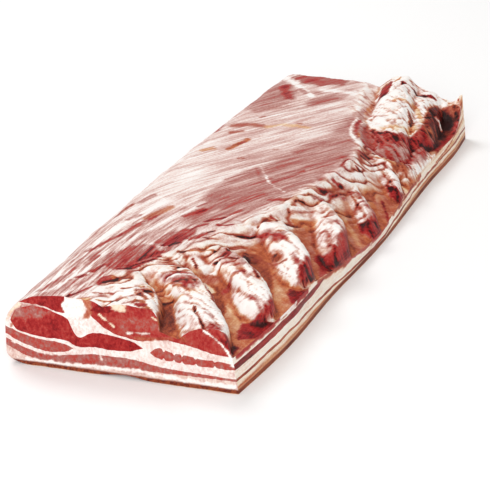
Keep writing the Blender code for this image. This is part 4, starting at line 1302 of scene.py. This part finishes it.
# The back fat on the right side: a dark line at this share of its height, paler fat over it.
FAT_LINE, FAT_LINE_WIDTH, FAT_LINE_LEAN = 0.55, 0.07, 0.35
FAT_UPPER, UPPER_LEAN, UPPER_DRY = (0.5, 0.62), -0.3, -0.15
DRIER_FAR, DRIER_FROM = 0.15, (60, 200)
PAINTED = ("top_lean", "rib_meat", "pocket_fat", "seam_fat")
print(len(RIGHT_SIDE_PATCHES), "patches on the right side")

# %% Which faces are cuts or sides
CUT_FACING, SIDE_FACING, SIDE_FROM, FORM_OVER_EDGE = 0.7, 0.6, 1.4, (0.5, 2.5)
EDGES_STREAKY, SHARP_ANGLE, OUT_OF_REACH = 0.6, math.radians(50), 1000.0


def face_values(mesh, name, width):
    """A property of all faces of a mesh, one row for each face."""
    values = np.empty(len(mesh.polygons) * width, np.float32)
    mesh.polygons.foreach_get(name, values)
    return values.reshape(-1, width)


def kinds_of_face(mesh):
    """For each face: is it on a cut end, and is it on an upright side."""
    normals, centres = face_values(mesh, "normal", 3), face_values(mesh, "center", 3) / MM
    facing = np.abs(normals[:, 1] - END_SLANT * normals[:, 0]) / math.hypot(1, END_SLANT)
    beyond = np.abs(centres[:, 1] - END_SLANT * centres[:, 0])
    cut = (facing > CUT_FACING) & (beyond > END - 2)
    beyond_edge = centres[:, 0] - top_edge(centres[:, 1]) > -SIDE_FROM
    side = (normals[:, 0] > SIDE_FACING) & beyond_edge
    return cut, ~cut & side


widest = round(math.degrees(math.acos(CUT_FACING)))
print("a face of a cut end may turn up to", widest, "degrees away from it")

# %% Store the paint on the pieces
def store(mesh, name, values):
    """Puts values, one for each corner of a face, on a mesh under a name."""
    kind = "FLOAT_VECTOR" if values.ndim == 2 else "FLOAT"
    attribute = mesh.attributes.new(name, kind, "CORNER")
    values = np.ascontiguousarray(values, np.float32).ravel()
    attribute.data.foreach_set("vector" if kind == "FLOAT_VECTOR" else "value", values)


def side_paint(name, y, z):
    """How lean and how dry the upright right side of a piece is."""
    lean, dry = (np.full(len(y), value) for value in ON_SIDE.get(name, ON_CUT[name]))
    if name == "back_fat":
        height = z / along(SKIN_LINE, y)
        upper = ease(*FAT_UPPER, height)
        lean += FAT_LINE_LEAN * np.exp(-(((height - FAT_LINE) / FAT_LINE_WIDTH) ** 2)) + UPPER_LEAN * upper
        dry += UPPER_DRY * upper
    if name in ("seam_fat", "rib_meat"):
        dry += DRIER_FAR * ease(*DRIER_FROM, y)
        lay(RIGHT_SIDE_PATCHES, y, z, uneven(y / 5, z / 2, 216), lean, dry)
    return lean, dry


def mark(name, piece):
    """Stores on a piece what its material needs to know about each place."""
    mesh = piece.data
    points = np.empty(len(mesh.vertices) * 3, np.float32)
    mesh.vertices.foreach_get("co", points)
    x, y, z = points.reshape(-1, 3).T.astype(float) / MM
    corners, totals = np.empty(len(mesh.loops), np.int32), np.empty(len(mesh.polygons), np.int32)
    mesh.loops.foreach_get("vertex_index", corners)
    mesh.polygons.foreach_get("loop_total", totals)
    cut, side = (np.repeat(mask, totals) for mask in kinds_of_face(mesh))
    cut_lean, cut_dry = (np.full(len(x), value) for value in ON_CUT[name])
    # The patches are the near end's own, so the far end's points are moved out of their reach.
    lay(NEAR_CUT, np.where(y < 0, x, OUT_OF_REACH), z, uneven(x / 3, z / 3, 212), cut_lean, cut_dry)
    lean, dry, streaky = top_paint(x, y) if name in PAINTED else (cut_lean, cut_dry, np.ones(len(x)))
    side_lean, side_dry = side_paint(name, y, z)
    if name in PAINTED:
        # Forms that stand above the thin edge keep the look of the top on their outer side.
        above = ease(*FORM_OVER_EDGE, z - along(EDGE_HEIGHT, y))
        side_lean += above * (lean - side_lean)
        side_dry += above * (dry - side_dry)
    for label, on_cut, on_side, elsewhere in (
        ("lean", cut_lean, side_lean, lean), ("dry", cut_dry, side_dry, dry),
    ):
        not_cut = np.where(side, on_side[corners], elsewhere[corners])
        store(mesh, label, np.where(cut, on_cut[corners], not_cut))
    store(mesh, "streaky", np.where(cut | side, EDGES_STREAKY, streaky[corners]))
    fibres = np.stack([across_fibres(x, y), y, z], axis=-1)[corners]
    sides = np.stack([z, y, x], axis=-1)[corners]
    store(mesh, "strand", np.where(side[:, None], sides, fibres))
    store(mesh, "cut", cut)
    store(mesh, "height", z[corners])
    mesh.shade_smooth()
    mesh.set_sharp_from_angle(angle=SHARP_ANGLE)


for name, piece in pieces.items():
    mark(name, piece)
print("painted", len(pieces), "pieces")

# %% [markdown]
# ## Building materials from nodes
#
# A material in Blender is a small network: nodes that read or work out a value, joined by
# links. Written out in full, each node takes several lines, so a few short helpers come first.
# Effects that several materials share are node groups, which are built once and used like a
# node of their own.

# %% Helpers for nodes
def node_group(name, inputs, outputs):
    """A new shader node group with named inputs and outputs, and its start and end nodes."""
    group = bpy.data.node_groups.new(name, "ShaderNodeTree")
    for label, value in inputs:
        socket = group.interface.new_socket(label, in_out="INPUT", socket_type="NodeSocketFloat")
        socket.default_value = value
    for label, kind in outputs:
        group.interface.new_socket(label, in_out="OUTPUT", socket_type=kind)
    return group, group.nodes.new("NodeGroupInput"), group.nodes.new("NodeGroupOutput")


def add(tree, kind, **settings):
    """Adds a node, sets its properties, and links or sets inputs given as in_NAME or in_NUMBER."""
    node = tree.nodes.new(kind)
    for key, value in settings.items():
        if not key.startswith("in_"):
            setattr(node, key, value)
    for key, value in settings.items():
        if key.startswith("in_"):
            place = key[3:]
            socket = node.inputs[int(place) if place.isdigit() else place.replace("_", " ")]
            if isinstance(value, bpy.types.NodeSocket):
                tree.links.new(value, socket)
            else:
                socket.default_value = value
    return node


def attribute(tree, name, output="Fac"):
    """What is stored on the mesh under a name."""
    return add(tree, "ShaderNodeAttribute", attribute_name=name).outputs[output]


def calc(tree, operation, a, b=0.0, c=0.0):
    """The output of a Math node."""
    return add(tree, "ShaderNodeMath", operation=operation, in_0=a, in_1=b, in_2=c).outputs[0]


def ramp(tree, value, low, high):
    """A soft step from 0 at low to 1 at high."""
    settings = {"interpolation_type": "SMOOTHSTEP", "in_Value": value, "in_1": low, "in_2": high}
    return add(tree, "ShaderNodeMapRange", **settings).outputs[0]


def mixed(tree, share, a, b):
    """Two colours mixed, each a socket or a colour of three numbers."""
    node = tree.nodes.new("ShaderNodeMix")
    node.data_type = "RGBA"
    for place, value in ((0, share), (6, a), (7, b)):
        if isinstance(value, bpy.types.NodeSocket):
            tree.links.new(value, node.inputs[place])
        else:
            node.inputs[place].default_value = (*value, 1)
    return node.outputs[2]


def linear(red, green, blue):
    """A colour seen on a screen, 0 to 255, as the linear colour that Blender wants."""
    parts = [value / 255 for value in (red, green, blue)]
    return tuple(v / 12.92 if v <= 0.04045 else ((v + 0.055) / 1.055) ** 2.4 for v in parts)


print("white fat in linear colour:", np.round(linear(247, 242, 236), 2))

# %% [markdown]
# ## Streaks and grain
#
# Muscle is bundles of fibres, so its colour changes fast across the fibres and slowly along
# them. Noise does the same when its coordinates are squeezed: the stored place of each point is
# divided by a size of 2 mm across the fibres and 30 mm along them. A second noise does this
# more broadly, and two that are hardly squeezed serve for fine grain and for blotches. The
# group's one input makes all four finer or coarser.

# %% The streaks of the fibres
STREAK_NOISES = (
    ("Fine", (2.0, 30.0, 3.0), 3.0), ("Broad", (8.0, 62.0, 8.0), 2.0), ("Grain", (1.1, 1.5, 1.1), 3.0),
    ("Blotch", (7.0, 8.0, 7.0), 3.0),
)
NOISE_ROUGHNESS, NOISE_DISTORTION = 0.58, 0.3


def streak_group():
    """A node group that puts out the four noises, each from about -0.2 to 0.2."""
    outputs = [(row[0], "NodeSocketFloat") for row in STREAK_NOISES]
    group, start, end = node_group("fibre streaks", (("Scale", 1.0),), outputs)
    strand = attribute(group, "strand", "Vector")
    for label, size, detail in STREAK_NOISES:
        place = add(group, "ShaderNodeVectorMath", operation="DIVIDE", in_0=strand)
        place.inputs[1].default_value = size
        made = add(
            group, "ShaderNodeTexNoise", in_Vector=place.outputs[0], in_Scale=start.outputs["Scale"],
            in_Detail=detail, in_Roughness=NOISE_ROUGHNESS, in_Distortion=NOISE_DISTORTION,
        )
        # A noise of Blender's keeps near one half, so its distance from there is what counts.
        group.links.new(calc(group, "SUBTRACT", made.outputs["Fac"], 0.5), end.inputs[label])
    return group


STREAKS = streak_group()
print("built the group", STREAKS.name)

# %% [markdown]
# ## From fat to meat
#
# This group holds the painter's palette. It takes how lean and how dry a place is, shifts both
# a little with the streaks and the grain, and looks up the colour on two scales, one of fresh
# shades and one of dried shades. The shades are what the eye sees on the real slab. Meat is
# moister than fat, so the group works out the gloss too, from two inputs: how rough meat and
# fat are. Each material places the group with its own values for them.

# %% The palette
MOST_LEAN = 1.2
FRESH_SHADES = (
    (0.0, (249, 244, 240)), (0.15, (239, 221, 214)), (0.3, (217, 181, 173)), (0.5, (186, 133, 124)),
    (0.64, (167, 97, 90)), (0.74, (178, 72, 62)), (0.88, (168, 40, 38)), (1.02, (140, 16, 20)),
    (1.2, (58, 14, 13)),
)
DRIED_SHADES = (
    (0.0, (242, 222, 194)), (0.2, (226, 182, 138)), (0.42, (204, 138, 96)), (0.6, (192, 102, 62)),
    (0.78, (156, 70, 44)), (0.95, (104, 42, 32)), (1.2, (40, 14, 12)),
)
STREAK_LEAN, BROAD_LEAN, GRAIN_LEAN, CUT_GRAIN, BLOTCH_DRY = 1.0, 0.65, 0.5, 0.22, 0.5
MEAT_FROM, MEAT_FULL = 0.3, 0.8


def palette_group():
    """A node group from what is painted on a piece to its colour, its gloss and its fine relief."""
    group, start, end = node_group(
        "fat to meat", (("Meat roughness", 0.36), ("Fat roughness", 0.5)),
        (("Color", "NodeSocketColor"), ("Roughness", "NodeSocketFloat"), ("Height", "NodeSocketFloat")),
    )
    streaks = add(group, "ShaderNodeGroup", node_tree=STREAKS).outputs
    run = calc(group, "MULTIPLY", streaks["Broad"], BROAD_LEAN)
    run = calc(group, "MULTIPLY_ADD", streaks["Fine"], STREAK_LEAN, run)
    lean = calc(group, "MULTIPLY_ADD", run, attribute(group, "streaky"), attribute(group, "lean"))
    grain = calc(group, "MULTIPLY_ADD", attribute(group, "cut"), CUT_GRAIN - GRAIN_LEAN, GRAIN_LEAN)
    lean = calc(group, "MULTIPLY_ADD", streaks["Grain"], grain, lean)
    dry = calc(group, "MULTIPLY_ADD", streaks["Blotch"], BLOTCH_DRY, attribute(group, "dry"))
    dry = ramp(group, dry, 0.0, 1.0)
    place = calc(group, "DIVIDE", lean, MOST_LEAN)
    scales = []
    for shades in (FRESH_SHADES, DRIED_SHADES):
        scale = add(group, "ShaderNodeValToRGB", in_Fac=place)
        elements = scale.color_ramp.elements
        elements.remove(elements[1])
        elements[0].color = (*linear(*shades[0][1]), 1)
        for share, shade in shades[1:]:
            elements.new(share / MOST_LEAN).color = (*linear(*shade), 1)
        scales.append(scale.outputs["Color"])
    group.links.new(mixed(group, dry, *scales), end.inputs["Color"])
    rough = add(
        group, "ShaderNodeMapRange", in_Value=ramp(group, lean, MEAT_FROM, MEAT_FULL),
        in_3=start.outputs["Fat roughness"], in_4=start.outputs["Meat roughness"],
    )
    group.links.new(rough.outputs[0], end.inputs["Roughness"])
    group.links.new(calc(group, "ADD", streaks["Fine"], streaks["Grain"]), end.inputs["Height"])
    return group


PALETTE = palette_group()
print("the palette has", len(FRESH_SHADES), "fresh and", len(DRIED_SHADES), "dried shades")

# %% [markdown]
# ## The materials
#
# Cured fat and meat are neither metal nor glass, so each material is one Principled shader with
# the palette's colour, a middling gloss and fine bumps. Bare meat is moist and shines more than
# fat. Light sinks a little way into fat, but at this size that only softens the shadows, so it
# is left out and the render stays quick.
#
# The rind needs more: seen from the side it is a thin dark line at the foot of the slab, and
# its underside is tan.

# %% A material for each layer
RIND_LOW, RIND_HIGH, UNDER_LOW, UNDER_HIGH, SPECKLE = 2.6, 4.2, 0.2, 0.6, 0.1
SPECULAR, BUMP_STRENGTH = 0.16, 0.5
RIND_EDGE, RIND_UNDER = ((150, 72, 44), (104, 34, 24)), ((204, 154, 112), (168, 112, 76))


def with_rind(tree, colour):
    """The rind's dark edge and its tan underside laid over a colour, by height above the floor."""
    streaks = add(tree, "ShaderNodeGroup", node_tree=STREAKS).outputs
    height = attribute(tree, "height")
    edge, under = (
        mixed(tree, ramp(tree, streaks[noise], -SPECKLE, SPECKLE), linear(*light), linear(*dark))
        for noise, (light, dark) in (("Fine", RIND_EDGE), ("Blotch", RIND_UNDER))
    )
    wavy = calc(tree, "MULTIPLY_ADD", streaks["Fine"], 2.0, height)
    with_edge = mixed(tree, ramp(tree, wavy, RIND_HIGH, RIND_LOW), colour, edge)
    return mixed(tree, ramp(tree, height, UNDER_HIGH, UNDER_LOW), with_edge, under)


def meat_material(name, moist, plain, bump):
    """A material whose roughness is `moist` on meat and `plain` on fat, with bumps of `bump` mm."""
    made = bpy.data.materials.new(name)
    made.use_nodes = True
    tree = made.node_tree
    shader = tree.nodes["Principled BSDF"]
    painted = add(
        tree, "ShaderNodeGroup", node_tree=PALETTE, in_Meat_roughness=moist, in_Fat_roughness=plain
    ).outputs
    colour = with_rind(tree, painted["Color"]) if name.startswith("rind") else painted["Color"]
    tree.links.new(colour, shader.inputs["Base Color"])
    tree.links.new(painted["Roughness"], shader.inputs["Roughness"])
    shader.inputs["Specular IOR Level"].default_value = SPECULAR
    relief = add(
        tree, "ShaderNodeBump", in_Height=painted["Height"], in_Strength=BUMP_STRENGTH,
        in_Distance=bump * MM,
    )
    tree.links.new(relief.outputs["Normal"], shader.inputs["Normal"])
    return made


# Name, roughness of meat, roughness of fat, bumps in mm.
MATERIALS = {
    "back_fat": ("rind_and_fat", 0.4, 0.5, 0.5), "skin_muscle": ("skin_lean", 0.36, 0.5, 0.5),
    "seam_fat": ("seam_fat_white", 0.4, 0.5, 0.4), "flank_lean": ("flank_red", 0.36, 0.5, 0.5),
    "main_lean": ("main_red", 0.34, 0.5, 0.5), "edge_lean": ("edge_red", 0.36, 0.5, 0.5),
    "top_lean": ("inner_skin", 0.36, 0.48, 0.6), "rib_meat": ("rib_skin", 0.38, 0.5, 0.8),
    "pocket_fat": ("lump_fat", 0.4, 0.5, 0.6),
}
for name, row in MATERIALS.items():
    pieces[name].data.materials.clear()
    pieces[name].data.materials.append(meat_material(*row))
print("materials:", ", ".join(sorted(row[0] for row in MATERIALS.values())))

# %% [markdown]
# ## Floor, light and camera
#
# The slab lies on a white table under soft light. A wide floor that is nearly white and a
# white world make the background vanish. One lamp, like a window high on the left, gives the
# forms their shade and the floor its faint shadow, and a softer one in front lights the cut end.

# %% Floor and light
FLOOR_SIDE, FLOOR_COLOUR, FLOOR_ROUGHNESS = 6.0, (0.98, 0.975, 0.97, 1), 0.8
WORLD_COLOUR, WORLD_STRENGTH = (1.0, 0.995, 0.99, 1), 0.6
# Name, place in metres, side of the square in metres, power in watts.
LAMPS = (("window", (-0.9, 0.35, 1.5), 0.8, 12.0), ("room", (0.5, -1.7, 1.0), 1.0, 17.0))
floor_mesh = bpy.data.meshes.new("floor")
corner = FLOOR_SIDE / 2
floor_mesh.from_pydata(
    [(-corner, -corner, 0), (corner, -corner, 0), (corner, corner, 0), (-corner, corner, 0)],
    [], [(0, 1, 2, 3)],
)
floor = bpy.data.objects.new("floor", floor_mesh)
bpy.context.scene.collection.objects.link(floor)
paper = bpy.data.materials.new("table_white")
paper.use_nodes = True
paper_shader = paper.node_tree.nodes["Principled BSDF"]
paper_shader.inputs["Base Color"].default_value = FLOOR_COLOUR
paper_shader.inputs["Roughness"].default_value = FLOOR_ROUGHNESS
floor_mesh.materials.append(paper)

world = bpy.data.worlds.new("studio")
bpy.context.scene.world = world
world.use_nodes = True
world.node_tree.nodes["Background"].inputs["Color"].default_value = WORLD_COLOUR
world.node_tree.nodes["Background"].inputs["Strength"].default_value = WORLD_STRENGTH


def lamp(name, place, size, power):
    """A square lamp that points at the middle of the slab."""
    light = bpy.data.lights.new(name, "AREA")
    light.size, light.energy = size, power
    made = bpy.data.objects.new(name, light)
    made.location = place
    aim = np.array(place, float)
    made.rotation_euler = (math.acos(aim[2] / np.linalg.norm(aim)), 0, math.atan2(aim[0], -aim[1]))
    bpy.context.scene.collection.objects.link(made)


for row in LAMPS:
    lamp(*row)
bpy.context.scene.view_settings.view_transform = "Standard"
print(len(LAMPS), "lamps and a white world")

# %% [markdown]
# ## The camera
#
# A long lens keeps the far end of the slab nearly as wide as the near one. It looks down from
# the right of the near end, so that the cut, the fingers and the smooth side all show.

# %% The camera
LENS, SENSOR = 161.27, 36.0
CAMERA_PLACE = (0.60924, -1.38564, 0.76656)
CAMERA_TILT, CAMERA_TURN = math.radians(63), math.radians(24.263)
camera_data = bpy.data.cameras.new("camera")
camera_data.lens, camera_data.sensor_width = LENS, SENSOR
camera = bpy.data.objects.new("camera", camera_data)
camera.location = CAMERA_PLACE
camera.rotation_euler = (CAMERA_TILT, 0, CAMERA_TURN)
bpy.context.scene.collection.objects.link(camera)
bpy.context.scene.camera = camera
print("camera at", tuple(round(value, 2) for value in camera.location))

# %% [markdown]
# ## Finish
#
# Relief may stand a little above the plain solids, but not much.

# %% Finish
bpy.context.view_layer.update()
